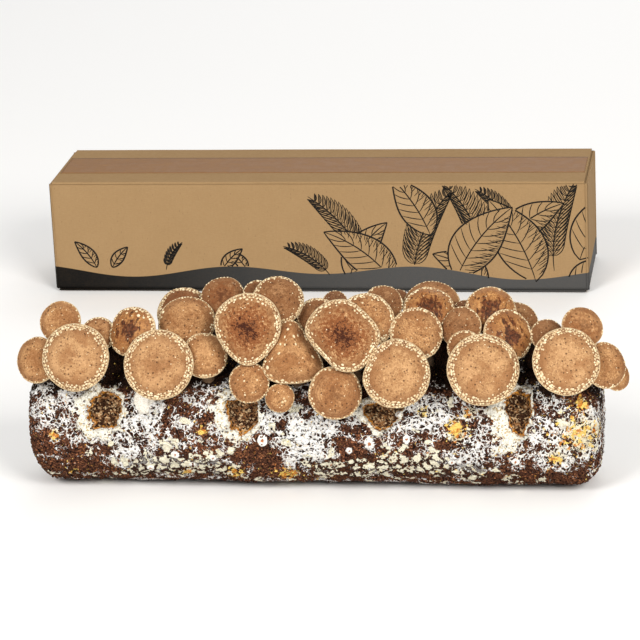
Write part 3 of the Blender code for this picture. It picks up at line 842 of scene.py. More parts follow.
def build_mushroom(name, x, y, z, across, turn, lift, root_shift, root_angle,
                   stain, tone, scale_rows):
    """One mushroom, turned as a lathe form and then bent into its place."""
    dice = random.Random(name)
    seed = dice.uniform(0, 400)
    centre = Vector((x, y, z)) * MM
    radius = across / 2
    swing, rise = math.radians(turn), math.radians(lift)
    axis = Vector((math.sin(swing) * math.cos(rise), -math.cos(swing) * math.cos(rise), math.sin(rise)))
    right = Vector((0, 0, 1)).cross(axis).normalized()
    up = axis.cross(right)
    flats = PRESSED.get(name, ())
    crown_tilt = Vector([dice.uniform(-CROWN_LEAN, CROWN_LEAN) for _ in "xy"])
    plumpness = dice.uniform(*PLUMPNESS)
    golden, ringed, pale_stem = (float(name in names) for names in (GOLDEN, RINGED, PALE_STEMS))

    stem_radius = max(radius * STEM_SHARE, STEM_MIN_RADIUS)
    start = centre + axis * STEM_START * radius * MM
    outward = clock_direction(root_angle)
    root = log_skin((x + root_shift) * MM, root_angle) - outward * ROOT_SINK * MM
    pull = (root - start).length
    first = start - axis * pull * STEM_PULL_AT_CAP
    second = root + outward * pull * STEM_PULL_AT_LOG
    spread_foot = FOOT_SPREAD
    if pale_stem:
        root -= outward * PALE_ROOT_SINK * MM
        second = root + (outward * 0.10 + Vector((0, 0, 0.45))) * pull
        spread_foot = PALE_FOOT_SPREAD

    def stem_middle(share):
        rest = 1 - share
        return (start * rest ** 3 + first * 3 * rest ** 2 * share
                + second * 3 * rest * share ** 2 + root * share ** 3)

    def cap_point(out, clock, height):
        turn_to = Vector((math.cos(clock), math.sin(clock)))
        wave = noise.noise(Vector((turn_to.x * 1.3, turn_to.y * 1.3, seed)))
        fine_wave = noise.noise(Vector((turn_to.x * 5, turn_to.y * 5, seed)))
        reach = out * radius * cap_reach(math.degrees(clock), flats)
        reach *= 1 + (0.03 * wave + 0.008 * fine_wave) * out
        rest = max(0.0, 1 - out * out)
        lean = (crown_tilt.x * turn_to.x + crown_tilt.y * turn_to.y) * out * rest * radius
        sag = 0.035 * radius * wave * out ** 3
        spot = Vector((turn_to.x * reach, turn_to.y * reach, seed)) * 0.22
        lump = 0.30 * noise.noise(spot) + 0.13 * noise.noise(spot * 4.1)
        level = height * radius * (plumpness if height > 0 else 1.0) + lean + sag
        if height > 0:
            level += lump
        return centre + (right * turn_to.x * reach + up * turn_to.y * reach + axis * level) * MM

    rings = max(int(radius / RING_SPACING), FEWEST_RINGS)
    outs = [TOP_REACH * (1 - (1 - ring / rings) ** 1.12) for ring in range(rings + 1)]
    profile = [(out, cap_height(out)) for out in outs]
    rim_from = len(profile)
    profile += RIM_ROLL
    gills_from = len(profile)
    profile += GILL_FACE
    stem_from = len(profile)
    profile += [(STEM_SHARE, -0.2 - share) for share in STEM_SHARES] + [(0.0, -1.2)]
    steps = 4 * max(int(math.tau * radius / CAP_CELL / 4), 10)

    bm = bmesh.new()
    number = turned_profile(bm, profile, steps)
    own, form, looks, rim = (bm.verts.layers.float_vector.new(layer)
                             for layer in ("own", "form", "looks", "rim"))
    look = Vector((stain, tone, golden))
    rim_look = Vector((scale_rows / 3, ringed, pale_stem))
    for vert in bm.verts:
        index = vert[number]
        out, height = profile[index]
        clock = math.atan2(vert.co.y, vert.co.x)
        side = Vector((math.cos(clock), math.sin(clock)))
        vert[looks] = look
        vert[rim] = rim_look
        if index < stem_from:
            part = PART_CAP if index < gills_from else PART_GILLS
            if part == PART_GILLS and round(clock / math.tau * steps) % 2:
                height -= GILL_DEPTH * (1 - abs((out - GILL_MIDDLE) / GILL_HALF) ** 4)
            vert.co = cap_point(out, clock, height)
            under = UNDER_RIM if index >= rim_from + 2 else 0.0
            vert[form] = (out + under, 0.0, part)
            vert[own] = (side.x * out * radius, side.y * out * radius, height * radius + seed)
            continue
        share = STEM_SHARES[min(index - stem_from, len(STEM_SHARES) - 1)]
        here = stem_middle(share)
        along = (stem_middle(share - 0.02) - here).normalized()
        side_way = (right - along * right.dot(along)).normalized()
        up_side = along.cross(side_way)
        flute = noise.noise(Vector((side.x * 1.5, side.y * 1.5, share * 2.2 + seed)))
        if pale_stem:
            flute += 1.8 * share * noise.noise(Vector((side.x * 3, side.y * 3, share * 5 + seed)))
        girth = stem_radius * (1 + 0.30 * share + spread_foot * share ** 4 + 0.16 * flute)
        if index - stem_from >= len(STEM_SHARES):
            girth = 0.0
        vert.co = here + (side_way * side.x + up_side * side.y) * girth * MM
        vert[form] = (share, 0.0, PART_STEM)
        vert[own] = (side.x * girth, side.y * girth, seed - share * pull / MM)
    bmesh.ops.recalc_face_normals(bm, faces=bm.faces)

    layers = (own, form, looks)
    for row, (row_out, size, chance) in enumerate(SCALE_ROWS):
        chance *= min(max(scale_rows - row + 0.25, 0.0), 1.0)
        count = int(math.tau * radius * row_out / SCALE_SPACING)
        for place in range(count):
            clock = math.tau * (place + 0.5 * (row % 2) + dice.uniform(-0.3, 0.3)) / count
            out = row_out + dice.uniform(-0.02, 0.014)
            spread = dice.uniform(0.7, 1.25) * size * (0.75 + radius / 100)
            length = dice.uniform(0.75, 1.3)
            if dice.random() < chance:
                add_scale(bm, cap_point, out, clock, spread, length, layers, look, seed)
    for out, angle, size in WARTS.get(name, ()):
        add_scale(bm, cap_point, out, math.radians(angle), size, 1.0, layers, look, seed)
    for _ in range(int(radius * 0.5 * (1.4 - 0.25 * scale_rows))):
        out = math.sqrt(dice.uniform(*FRECKLES_OUT))
        spread = dice.uniform(*FRECKLE_SIZE)
        add_scale(bm, cap_point, out, dice.uniform(0, math.tau), spread, 1.0, layers, look, seed)

    piece = add_object("mushroom_" + name + "_grown", bm)
    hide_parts("mushroom_" + name)
    return piece


def add_scale(bm, cap_point, out, clock, size, length, layers, look, seed):
    """One dried scale: a low cream lump, with its edge sunk in the cap's skin."""
    own, form, looks = layers
    spot = cap_point(out, clock, cap_height(out))
    outer = (cap_point(out + 0.02, clock, cap_height(out + 0.02)) - spot).normalized()
    aside = (cap_point(out, clock + 0.02, cap_height(out)) - spot).normalized()
    away = outer.cross(aside).normalized()
    turn = Matrix((outer, aside, away)).transposed().to_4x4()
    rise = size * SCALE_RISE
    shape = Matrix.Diagonal((size * SCALE_OUTWARD, size * length, rise, 1 / MM)) * MM
    spin = Matrix.Rotation(seed + clock * 7, 4, "Z")
    matrix = Matrix.Translation(spot) @ turn @ shape @ spin
    for vert in bmesh.ops.create_icosphere(bm, subdivisions=1, radius=1, matrix=matrix)["verts"]:
        lift = (vert.co - spot).dot(away) / (rise * MM)
        vert[own] = (out * math.cos(clock) * 20, out * math.sin(clock) * 20, seed + lift)
        vert[form] = (out, SCALE_MARK + SCALE_TOP_MARK * lift, PART_CAP)
        vert[looks] = look


def build_flesh():
    """Cap skin, scales, rim, gills and stem, told apart by what each point of the mesh carries."""
    made, tree = new_material("mushroom_flesh")
    own = attribute(tree, "own")
    out, wart, part = split(tree, attribute(tree, "form"))
    stain, tone, golden = split(tree, attribute(tree, "looks"))
    rows, ringed, pale_stem = split(tree, attribute(tree, "rim"))
    flat = scaled(tree, own, (1, 1, 0))
    length = Value(tree, node(tree, "VectorMath", flat, operation="LENGTH").outputs["Value"])
    spoke = split(tree, node(tree, "VectorMath", flat, operation="NORMALIZE"))
    spoke_place = node(tree, "CombineXYZ", spoke[0], spoke[1], length * 0.02 + split(tree, own)[2])
    fibres = clouds(tree, spoke_place, 9.0, 3.0, 0.6)
    mottle = clouds(tree, own, 0.42, 4.0, 0.65)
    grain = clouds(tree, own, 1.1, 3.0, 0.6)
    worn = clouds(tree, own, 0.075, 2.0, 0.5)

    skin = tint(tree, tone.step(0.0, 1.0), (0.405, 0.210, 0.085), (0.46, 0.262, 0.118))
    skin = coated(tree, skin, ((tone, 0.0, -1.0, 1.0, (0.17, 0.078, 0.034)),))
    skin = tint(tree, golden, skin, (0.42, 0.20, 0.065))
    # Broad blotches, dark and pale mottling, pale and dark grain, the evenness of a pale cap,
    # and worn places, browner or paler.
    shade = coated(tree, (1.0, 1.0, 1.0), (
        (clouds(tree, own, 0.11, 3.0, 0.55), 0.38, 0.66, 0.45, (0.64, 0.50, 0.42)),
        (mottle, 0.47, 0.60, 0.62, (0.50, 0.40, 0.36)),
        (mottle, 0.44, 0.34, 0.8, (1.45, 1.55, 1.75)),
        (grain, 0.52, 0.62, 0.6, (1.5, 1.65, 1.9)),
        (grain, 0.45, 0.36, 0.7, (0.42, 0.34, 0.30)),
        (tone, 0.0, 1.0, 0.40, (1.02, 1.02, 1.02)),
        (worn, 0.46, 0.62, 0.6, (0.62, 0.48, 0.40)),
        (worn, 0.46, 0.34, 0.5, (1.22, 1.26, 1.34)),
    ))
    skin = tint(tree, 1.0, skin, shade, "MULTIPLY")

    rings = (mottle * 2.5 + length * 3.4).maths("SINE").step(0.0, 0.8) * ringed
    skin = tint(tree, rings * out.step(0.35, 0.8, 0.0, 0.6), skin, (0.20, 0.092, 0.042))
    # A darker ring between the middle and the rim is painted shade where the dome turns down.
    painted_rim_shade = out.step(0.58, 0.82) * out.step(0.96, 0.86, 0.0, 0.50)
    skin = tint(tree, painted_rim_shade, skin, (0.22, 0.092, 0.036))
    streaks = fibres * 2.0 + (mottle * 3.2 - 2.62) + (grain * 1.6 - 0.8)
    middle = out * -1.95 + 1.45 + streaks
    skin = tint(tree, middle.step(0.05, 0.35, 0.0, 0.95) * stain, skin, (0.21, 0.070, 0.022))
    skin = tint(tree, middle.step(0.75, 1.15) * stain, skin, (0.045, 0.012, 0.005))
    edge = clouds(tree, scaled(tree, own, (1.7, 0.85, 1.0)), 0.20, 3.0, 0.6)
    wet = out * -0.75 + 0.36 + (edge * 1.8 - 0.9)
    wet_colour = tint(tree, mottle.step(0.42, 0.58), (0.035, 0.009, 0.003), (0.13, 0.036, 0.010))
    skin = tint(tree, wet.step(-0.03, 0.09, 0.0, 0.95) * golden, skin, wet_colour)
    # Specks: cells to a millimetre, a speck's rim and core, which cells have one, how strong.
    for size, rim, core, fewest, most, share, colour in (
            (0.58, 0.42, 0.20, 0.45, 0.55, 0.62, (0.16, 0.072, 0.032)),
            (0.34, 0.30, 0.15, 0.42, 0.50, 0.85, (0.075, 0.030, 0.013))):
        dots, dot_pick = cells(tree, own, size)
        dots = dots.step(rim, core) * dot_pick[0].step(fewest, most, 0.0, share)
        skin = tint(tree, dots, skin, colour)

    cracks = seams(tree, own, 0.46)
    flakes = tint(tree, cracks.step(0.08, 0.2), (0.19, 0.090, 0.040), (0.64, 0.45, 0.25))
    near_rim = mottle * 0.16 + out - (rows * -0.17 + 1.0)
    scale = tint(tree, mottle.step(0.40, 0.62), (0.85, 0.72, 0.48), (0.67, 0.49, 0.275))
    gill_fold = clouds(tree, spoke_place, 30.0, 1.0, 0.5)
    gills = tint(tree, gill_fold.step(0.4, 0.62), (0.40, 0.26, 0.135), (0.66, 0.50, 0.30))
    # Stems are painted dark brown as the shade they stand in under the caps; a pale stem keeps its pale
    # threads.
    shaded_stem = tint(tree, fibres.step(0.4, 0.62), (0.20, 0.13, 0.075), (0.10, 0.058, 0.032))
    thready = tint(tree, fibres.step(0.50, 0.60), (0.95, 0.92, 0.84), (0.55, 0.44, 0.30))
    shaded_stem = coated(tree, shaded_stem, ((mottle * 0.5 + out + pale_stem, 1.15, 1.35, 1.0, thready),))
    # The flaky band inside the rim, the rim, the roll under it, the sunk edge of each scale, the scale
    # itself, the gills, and the stem, painted dark as shade.
    skin = coated(tree, skin, (
        (near_rim, 0.05, 0.13, 0.85, flakes),
        (out, 0.972, 1.0, 0.85, (0.74, 0.56, 0.33)),
        (out, 1.04, 1.12, 0.9, (0.56, 0.40, 0.225)),
        (wart, 0.3, 0.45, 1.0, (0.10, 0.045, 0.02)),
        (wart, 0.52, 0.72, 1.0, scale),
        (part, 0.2, 0.8, 1.0, gills),
        (part, 1.2, 1.8, 1.0, shaded_stem),
    ))
    rough = (grain - golden * 0.7).step(-0.3, 0.3, 0.36, 0.85)
    relief = mottle * 0.8 + grain * 0.35 + fibres * 0.3
    return finish_surface(made, skin, rough, 0.16, relief, 0.7 * MM, 0.9)


flesh = build_flesh()
for row in MUSHROOMS:
    build_mushroom(*row).data.materials.append(flesh)

# The carton is brown corrugated board: one strip folded round into four walls, with flaps
# above and below that fold in. A charcoal band with a hilly top is printed round its foot.
CARTON_LOW, CARTON_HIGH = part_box("carton_walls")
BOARD = 1.6 * MM
LINER = 0.32 * MM
CORE_SUNK = 1.1 * MM
CORNER_ROUND = 1.7 * MM
CORNER_BEVEL = 0.75 * MM
FOLD_BEVEL = 1.3 * MM
LONG_WALL_ROWS = 130
SHORT_WALL_ROWS = 30
WALL_ROWS_UP = 30
PANEL_BULGE = 0.7 * MM
# Flaps: the side of the carton, the axis that crosses its fold, and 1 for its higher end.
FLAPS = (("front", 1, 0), ("back", 1, 1), ("left", 0, 0), ("right", 0, 1))
FLAP_CUTS = 39
FLAP_RIPPLE = 0.12 * MM


def wall_point(side, across, up):
    """A point on a wall's outer face and the way out: side 0 front, 1 right, 2 back, 3 left."""
    low, high = CARTON_LOW, CARTON_HIGH
    corners = ((low.x, low.y), (high.x, low.y), (high.x, high.y), (low.x, high.y))
    start, end = Vector((*corners[side], 0)), Vector((*corners[(side + 1) % 4], 0))
    way = (end - start).normalized()
    out = Vector((way.y, -way.x, 0))
    belly = math.sin(math.pi * min(max(across, 0), 1)) * math.sin(math.pi * min(max(up, 0), 1))
    ripple = noise.noise(Vector((across * 5, up * 1.6, side * 3.7)))
    bulge = PANEL_BULGE * belly * (0.55 + 0.4 * ripple)
    spot = start + way * (CORNER_ROUND + across * ((end - start).length - 2 * CORNER_ROUND))
    spot += out * (bulge - PANEL_BULGE)
    spot.z = low.z + up * (high.z - low.z)
    return spot, out


def thicken(piece, name, thickness, offset=-1):
    """Give a sheet its thickness: inward from its face, or to both sides where offset is 0."""
    solid = piece.modifiers.new(name, "SOLIDIFY")
    solid.thickness = thickness
    solid.offset = offset


def build_carton_walls():
    """The four walls as one folded strip, with rounded folds and slightly bellied panels."""
    bm = bmesh.new()
    rows = []
    for side, count in enumerate((LONG_WALL_ROWS, SHORT_WALL_ROWS) * 2):
        rows += [(side, row / count) for row in range(count + 1)]
    bmesh.ops.create_grid(bm, x_segments=len(rows), y_segments=WALL_ROWS_UP, size=0.5)
    for vert in bm.verts:
        side, across = rows[round((vert.co.x + 0.5) * len(rows)) % len(rows)]
        vert.co, _ = wall_point(side, across, vert.co.y + 0.5)
    bmesh.ops.remove_doubles(bm, verts=bm.verts, dist=0.01 * MM)
    bmesh.ops.recalc_face_normals(bm, faces=bm.faces)
    corners = [edge for edge in bm.edges if edge.calc_face_angle(0) > math.radians(25)]
    bmesh.ops.bevel(bm, geom=corners, offset=CORNER_BEVEL, segments=3, profile=0.5,
                    affect="EDGES", material=-1)
    piece = add_object("carton_wall_board", bm)
    thicken(piece, "board", BOARD)
    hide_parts("carton_walls")
    return piece


def build_flap(name, fold_axis, fold_side):
    """One flap: two liners over a core that is sunk at its cut ends, and a rounded fold."""
    low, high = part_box(name)
    bm = bmesh.new()
    bmesh.ops.create_cube(bm, size=1)
    bmesh.ops.scale(bm, vec=high - low, verts=bm.verts)
    bmesh.ops.translate(bm, vec=(low + high) / 2, verts=bm.verts)
    outside = high.z if "_top_" in name else low.z
    fold_at = (low, high)[fold_side][fold_axis]
    fold = [edge for edge in bm.edges
            if all(abs(vert.co.z - outside) < 0.1 * MM for vert in edge.verts)
            and all(abs(vert.co[fold_axis] - fold_at) < 0.1 * MM for vert in edge.verts)]
    bmesh.ops.bevel(bm, geom=fold, offset=FOLD_BEVEL, segments=4, profile=0.5,
                    affect="EDGES", material=-1)
    cut_ends = [face for face in bm.faces if abs(face.normal[1 - fold_axis]) > 0.9]
    bmesh.ops.inset_individual(bm, faces=cut_ends, thickness=LINER)
    for face in cut_ends:
        bmesh.ops.translate(bm, vec=face.normal * -CORE_SUNK, verts=face.verts)
    long_edges = [edge for edge in bm.edges if edge.calc_length() > 40 * MM]
    bmesh.ops.subdivide_edges(bm, edges=long_edges, cuts=FLAP_CUTS, use_grid_fill=True)
    for vert in bm.verts:
        vert.co.z += noise.noise(Vector((vert.co.x * 16, vert.co.y * 24, low.z * 90))) * FLAP_RIPPLE
    bmesh.ops.recalc_face_normals(bm, faces=bm.faces)
    piece = add_object(name + "_board", bm)
    piece.data.set_sharp_from_angle(angle=math.radians(40))
    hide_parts(name)
    return piece


def build_fibre_group():
    """Paper: pulp fibres lying every way, with darker shives, on places in millimetres."""
    group = bpy.data.node_groups.new("paper_fibre", "ShaderNodeTree")
    given, out = group_sockets(group, (("Place", "NodeSocketVector"),), ("Shade", "Shive", "Height"))
    place = given["Place"]
    across = scaled(group, place, (1.4, 1.0, 0.3))
    lying = clouds(group, scaled(group, place, (0.25, 0.25, 1.4)), 1.0, 4.0, 0.65)
    height = lying * 0.5 + clouds(group, across, 1.0, 4.0, 0.65) * 0.3
    height = height + clouds(group, place, 0.05, 3.0, 0.5) * 0.2
    specks, speck_pick = cells(group, across, 0.5)
    feed(group, out["Shade"], height.step(0.36, 0.64))
    feed(group, out["Shive"], specks.step(0.2, 0.1) * speck_pick[0].step(0.8, 0.9))
    feed(group, out["Height"], height)
    return group


fibre_group = build_fibre_group()
KRAFT = (0.335, 0.214, 0.103)
KRAFT_DARK = (0.305, 0.192, 0.092)
KRAFT_SHIVE = (0.16, 0.095, 0.05)
KRAFT_WORN = (0.53, 0.39, 0.25)
KRAFT_CORE = (0.50, 0.36, 0.22)
CHARCOAL = (0.004, 0.004, 0.004)
# The band's lightest ink, a painted sheen.
CHARCOAL_PAINTED_SHEEN = (0.066, 0.066, 0.065)
# The band's ink is painted lighter over this many millimetres from the carton's left end, as a painted
# sheen.
PAINTED_SHEEN_OVER = 350
# The band lies on the walls' outer faces, no deeper in than this in millimetres.
PRINT_DEPTH = 1.45
FLUTE_PITCH = 3.4
# The long flaps' cut ends show the board's core. They are higher than this in millimetres.
CUT_ENDS_OVER = (98.1, 98.3)
# The hills' top over the surface: mean height, then waves of height, length over tau and shift.
HILL_MEAN = 19
HILL_WAVES = ((4.2, 27, 0.6), (2.4, 61, 2.1), (1.3, 113, 4.0))


def past_side(value, middle, half):
    """How far a coordinate is past a side of the carton, in millimetres. Inside is negative."""
    return (value - middle / MM).maths("ABSOLUTE") - half / MM


def build_kraft():
    """Kraft board: fibres, faint flutes, scuffed folds, and the charcoal band on its outside, painted
    lighter to the right as sheen.
    """
    made, tree = new_material("printed_kraft")
    place = millimetres(tree)
    shade, shive, fibres = from_group(tree, fibre_group, Place=place)
    x, y, z = split(tree, place)
    middle, half = (CARTON_LOW + CARTON_HIGH) / 2, (CARTON_HIGH - CARTON_LOW) / 2
    past_end = past_side(x, middle.x, half.x)
    past_face = past_side(y, middle.y, half.y)
    flutes = (x * (math.tau / FLUTE_PITCH)).maths("SINE")
    colour = tint(tree, shade, KRAFT, KRAFT_DARK)
    colour = tint(tree, flutes * 0.03 + 0.03, colour, KRAFT_DARK)
    colour = tint(tree, shive * 0.5, colour, KRAFT_SHIVE)

    under_hill = z * -1.0 + HILL_MEAN
    for height, wave_length, shift in HILL_WAVES:
        under_hill = under_hill + (x * (1 / wave_length) + shift).maths("SINE") * height
    outside = past_end.maths("MAXIMUM", past_face).step(-PRINT_DEPTH - 0.1, -PRINT_DEPTH)
    printed = under_hill.step(-0.15, 0.15) * outside
    carton_end = CARTON_LOW.x / MM
    # The ink grows lighter to the right: a painted sheen.
    ink = tint(tree, x.step(carton_end, carton_end + PAINTED_SHEEN_OVER), CHARCOAL, CHARCOAL_PAINTED_SHEEN)
    ink = tint(tree, shade * 0.03, ink, KRAFT_DARK)
    colour = tint(tree, printed, colour, ink)

    folds = past_end.maths("MINIMUM", past_face) + (fibres * 5.0 - 4.0)
    colour = coated(tree, colour, ((folds, -2.6, -0.6, 0.7, KRAFT_WORN),))
    facing = split(tree, tree.nodes.new("ShaderNodeNewGeometry").outputs["Normal"])
    cut_end = z.step(*CUT_ENDS_OVER) * facing[0].maths("ABSOLUTE").step(0.7, 0.8)
    colour = tint(tree, cut_end, colour, KRAFT_CORE)
    rough = shade.step(0.0, 1.0, 0.78, 0.9) + printed * -0.3
    return finish_surface(made, colour, rough, 0.08, fibres + flutes * 0.12, 0.12 * MM, 0.6)


kraft = build_kraft()
build_carton_walls().data.materials.append(kraft)
for level in ("top", "bottom"):
    for flap_side, fold_axis, fold_side in FLAPS:
        flap = build_flap("carton_%s_flap_%s" % (level, flap_side), fold_axis, fold_side)
        flap.data.materials.append(kraft)

# Brown packing tape closes the seams between the flaps: one strip above and one below, pressed
# down by hand, sunk a little along the seam and cut on a toothed blade.
TAPE_CELLS_ALONG = 231
TAPE_CELLS_ACROSS = 16
TAPE_THICK = 0.09 * MM
TAPE_OFF = 0.17 * MM
SEAM_SUNK = 0.12 * MM
SEAM_SHARPNESS = 24
TOOTH = 0.7 * MM


def build_tape(name, face, way):
    """One strip lying on the flaps at the height of their face, its outside facing up or down."""
    low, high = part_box(name)
    bm = bmesh.new()
    bmesh.ops.create_grid(bm, x_segments=TAPE_CELLS_ALONG, y_segments=TAPE_CELLS_ACROSS, size=0.5)
    for vert in bm.verts:
        along, across = vert.co.x + 0.5, vert.co.y + 0.5
        x = low.x + along * (high.x - low.x)
        if min(along, 1 - along) < 1e-4 and round(across * TAPE_CELLS_ACROSS) % 2:
            x += TOOTH if along < 0.5 else -TOOTH
        sunk = SEAM_SUNK * math.exp(-((across - 0.5) * SEAM_SHARPNESS) ** 2)
        crease = 0.05 * MM * noise.noise(Vector((x * 60, across * 3, low.z * 70)))
        rise = TAPE_OFF + crease - sunk
        vert.co = Vector((x, low.y + across * (high.y - low.y), face + way * rise))
    if way < 0:
        bmesh.ops.reverse_faces(bm, faces=bm.faces)
    piece = add_object(name + "_strip", bm)
    thicken(piece, "thickness", TAPE_THICK)
    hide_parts(name)
    return piece


def build_tape_finish():
    """Brown tape with the sheen of its film, fine lengthwise streaks and trapped air."""
    made, tree = new_material("brown_tape")
    place = millimetres(tree)
    streaks = clouds(tree, scaled(tree, place, (0.03, 1.1, 1.0)), 1.0, 4.0, 0.6)
    air = clouds(tree, place, 0.09, 4.0, 0.6)
    shade = from_group(tree, fibre_group, Place=place)[0]
    colour = tint(tree, streaks.step(0.35, 0.65), (0.262, 0.122, 0.036), (0.222, 0.102, 0.030))
    colour = coated(tree, colour, ((air, 0.52, 0.62, 0.3, (0.31, 0.165, 0.062)),))
    colour = tint(tree, shade * 0.25, colour, (0.19, 0.094, 0.033))
    rough = air.step(0.3, 0.7, 0.42, 0.56)
    return finish_surface(made, colour, rough, 0.3, air * 0.6 + streaks, 0.15 * MM, 0.5)


brown_tape = build_tape_finish()
for tape_name, under, way in (("carton_top_tape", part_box("carton_top_flap_front")[1].z, 1),
                              ("carton_bottom_tape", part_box("carton_bottom_flap_front")[0].z, -1)):
    build_tape(tape_name, under, way).data.materials.append(brown_tape)

# The line drawings are black ink printed on the front: broad leaves with veins and hatching,
# fern fronds behind them and a few sprigs, crowded at the right and sparse at the left.
INK_THICK = 0.05 * MM
INK_OFF = 0.06 * MM
# Pens: the width of the stroke in millimetres and the parts that it is made of.
EDGE_PEN, RIB_PEN, STALK_PEN = (1.45, 18), (1.15, 12), (1.15, 20)
VEIN_PEN, HATCH_PEN = (0.85, 6), (0.65, 4)
HATCH_SPACING = 2.3
# Where veins, hatching and leaflets start, and how much of the length they take up.
VEINS, HATCHING, LEAFLETS = (0.14, 0.7), (0.1, 0.8), (0.16, 0.8)
LEAFLET_TURN, LEAFLET_BEND, LEAFLET_WIDTH = 58, 22, 0.24
# The print ends this far up and along the front, and this far over the charcoal hills.
PRINT_TOP, PRINT_RIGHT, PRINT_GAP = 96.5, 467.5, 0.4
# Leaves, the front ones first: foot along and up in millimetres, lean, length, width, pairs of
# veins, and bend in degrees.
LEAVES = (
    (356, 14, 22, 80, 40, 7, 16), (424, 10, -14, 84, 42, 7, -14), (301, 8, -32, 76, 34, 7, -20),
    (462, 30, 18, 74, 36, 6, 14), (334, 52, -20, 60, 30, 6, -12), (398, 46, 38, 62, 28, 6, 18),
    (262, 12, 12, 62, 27, 6, 22), (382, 8, -42, 54, 25, 5, -18), (452, 6, 52, 50, 24, 5, 14),
    (150, 20, 30, 27, 11, 4, 14), (172, 20, -28, 22, 10, 3, -12),
    (38, 22, -24, 30, 12, 4, -14), (52, 22, 26, 24, 10, 3, 12),
)
# Fronds, behind the leaves: foot along and up, lean, length, pairs of leaflets and bend.
FRONDS = (
    (318, 12, 2, 88, 17, 22), (380, 14, 4, 92, 17, -26), (440, 20, -6, 84, 16, 20),
    (276, 30, -22, 74, 14, -18), (246, 14, -34, 50, 11, -22), (408, 60, -30, 48, 10, -16),
    (100, 20, 10, 30, 8, 22),
)


def hill_top(along):
    """The height of the charcoal hills at a distance along the front, in millimetres."""
    x = CARTON_LOW.x / MM + along
    return HILL_MEAN + sum(height * math.sin(x / wave_length + shift)
                           for height, wave_length, shift in HILL_WAVES)


def inside(spot, outline):
    """Whether a spot is inside a closed outline."""
    x, z = spot
    crossings = 0
    for (a_x, a_z), (b_x, b_z) in zip(outline, outline[1:] + outline[:1]):
        if (a_z > z) != (b_z > z) and x < a_x + (z - a_z) * (b_x - a_x) / (b_z - a_z):
            crossings += 1
    return crossings % 2 == 1


def draw_stroke(bm, path, pen, in_front, taper=0.35):
    """One stroke of ink along a path of (along, up), left out where leaves in front hide it."""
    width, parts = pen
    made = bmesh.ops.create_grid(bm, x_segments=parts, y_segments=1, size=0.5)["verts"]
    faces = {face for vert in made for face in vert.link_faces}
    length = (CARTON_HIGH.x - CARTON_LOW.x - 2 * CORNER_ROUND) / MM
    height = (CARTON_HIGH.z - CARTON_LOW.z) / MM
    unseen = []
    for face in faces:
        spot = path(face.calc_center_median().x + 0.5)
        if (spot[1] > PRINT_TOP or spot[0] > PRINT_RIGHT or spot[1] < hill_top(spot[0]) + PRINT_GAP
                or any(inside(spot, outline) for outline in in_front)):
            unseen.append(face)
    for vert in made:
        share = vert.co.x + 0.5
        before, after = Vector(path(share - 0.01)), Vector(path(share + 0.01))
        aside = Vector((before.y - after.y, after.x - before.x)).normalized()
        half = width * (taper + (1 - taper) * math.sin(math.pi * share) ** 0.5) / 2
        spot = Vector(path(share)) + aside * math.copysign(half, vert.co.y)
        wall, out = wall_point(0, (spot.x - CORNER_ROUND / MM) / length,
                               (spot.y - CARTON_LOW.z / MM) / height)
        vert.co = wall + out * INK_OFF
    bmesh.ops.delete(bm, geom=unseen, context="FACES")


def bent_spine(root, lean, length, bend):
    """A stalk or midrib: a function that gives its point and its lean at a share of its length."""
    def spine(share):
        turn = math.radians(lean + bend * share)
        reach = length * share
        return root[0] + math.sin(turn) * reach, root[1] + math.cos(turn) * reach, turn
    return spine


def leaf_edge(spine, side, width):
    """One edge of a pointed leaf, as a function of the share of its length."""
    def edge(share, reach=1.0):
        x, z, turn = spine(share)
        swell = math.sin(math.pi * min(max(share, 0), 1) ** 0.8) ** 0.9 * width / 2 * reach * side
        return x + math.cos(turn) * swell, z - math.sin(turn) * swell
    return edge


def spaced(count, along):
    """Places at even steps along a leaf or a frond."""
    start, span = along
    return [start + span * number / count for number in range(count)]


def straight(start, finish):
    """A straight stroke's path."""
    return lambda part: tuple(a + (b - a) * part for a, b in zip(start, finish))


def curved(start, middle, finish):
    """The path of a stroke that leaves for the middle and bends to the finish."""
    def point(part):
        rest = 1 - part
        return tuple(a * rest ** 2 + 2 * b * rest * part + c * part ** 2
                     for a, b, c in zip(start, middle, finish))
    return point


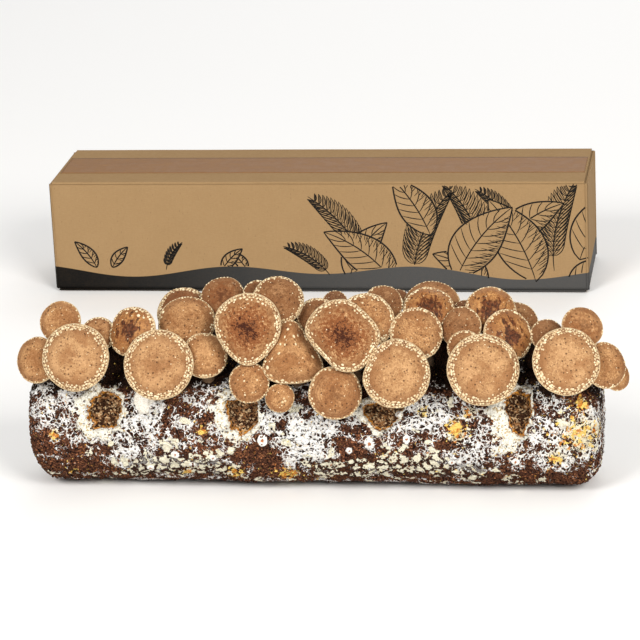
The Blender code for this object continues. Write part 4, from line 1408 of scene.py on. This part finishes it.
def draw_leaf(bm, root_x, root_z, lean, length, width, pairs, bend, in_front):
    """A pointed leaf: its edge, midrib, curved veins and hatching. Returns its outline."""
    spine = bent_spine((root_x, root_z), lean, length, bend)
    edges = [leaf_edge(spine, side, width) for side in (1, -1)]
    for edge in edges:
        draw_stroke(bm, edge, EDGE_PEN, in_front, 0.7)
    draw_stroke(bm, lambda share: spine(share)[:2], RIB_PEN, in_front)
    for share in spaced(pairs, VEINS):
        for edge in edges:
            vein = curved(spine(share), edge(share + 0.06, 0.5), edge(min(share + 0.17, 0.97), 0.94))
            draw_stroke(bm, vein, VEIN_PEN, in_front)
    for number, share in enumerate(spaced(int(length / HATCH_SPACING), HATCHING)):
        hatch = straight(edges[0](share, 0.97),
                         edges[0](share - 0.035, 0.52 + 0.22 * math.sin(number * 2.4)))
        draw_stroke(bm, hatch, HATCH_PEN, in_front)
    steps = [number / 16 for number in range(17)]
    return [edges[0](share) for share in steps] + [edges[1](share) for share in reversed(steps)]


def draw_frond(bm, root_x, root_z, lean, length, pairs, bend, in_front):
    """A fern frond: a bent stalk with pairs of leaflets that shorten to its tip."""
    spine = bent_spine((root_x, root_z), lean, length, bend)
    draw_stroke(bm, lambda share: spine(share)[:2], STALK_PEN, in_front)
    for share in spaced(pairs, LEAFLETS):
        x, z, turn = spine(share)
        size = length * 0.25 * math.sin(math.pi * (0.22 + 0.74 * share)) ** 0.9
        for side in (1, -1):
            stalk = bent_spine((x, z), math.degrees(turn) + side * LEAFLET_TURN, size,
                               -side * LEAFLET_BEND)
            for edge_side in (1, -1):
                edge = leaf_edge(stalk, edge_side, size * LEAFLET_WIDTH)
                draw_stroke(bm, edge, VEIN_PEN, in_front)
            draw_stroke(bm, lambda part: stalk(part * 0.8)[:2], HATCH_PEN, in_front)


def build_print():
    """All the strokes as one thin skin of ink on the front."""
    bm = bmesh.new()
    outlines = []
    for sizes in LEAVES:
        outlines.append(draw_leaf(bm, *sizes, list(outlines)))
    for sizes in FRONDS:
        draw_frond(bm, *sizes, outlines)
    bmesh.ops.recalc_face_normals(bm, faces=bm.faces)
    piece = add_object("carton_front_print", bm)
    thicken(piece, "ink", INK_THICK, offset=0)
    return piece


def build_ink():
    """Black ink that lets a little of the board's fibre through."""
    made, tree = new_material("black_ink")
    shade, _, fibres = from_group(tree, fibre_group, Place=millimetres(tree))
    colour = tint(tree, shade, (0.008, 0.007, 0.006), (0.018, 0.015, 0.012))
    return finish_surface(made, colour, fibres.step(0.3, 0.7, 0.5, 0.65), 0.1)


build_print().data.materials.append(build_ink())
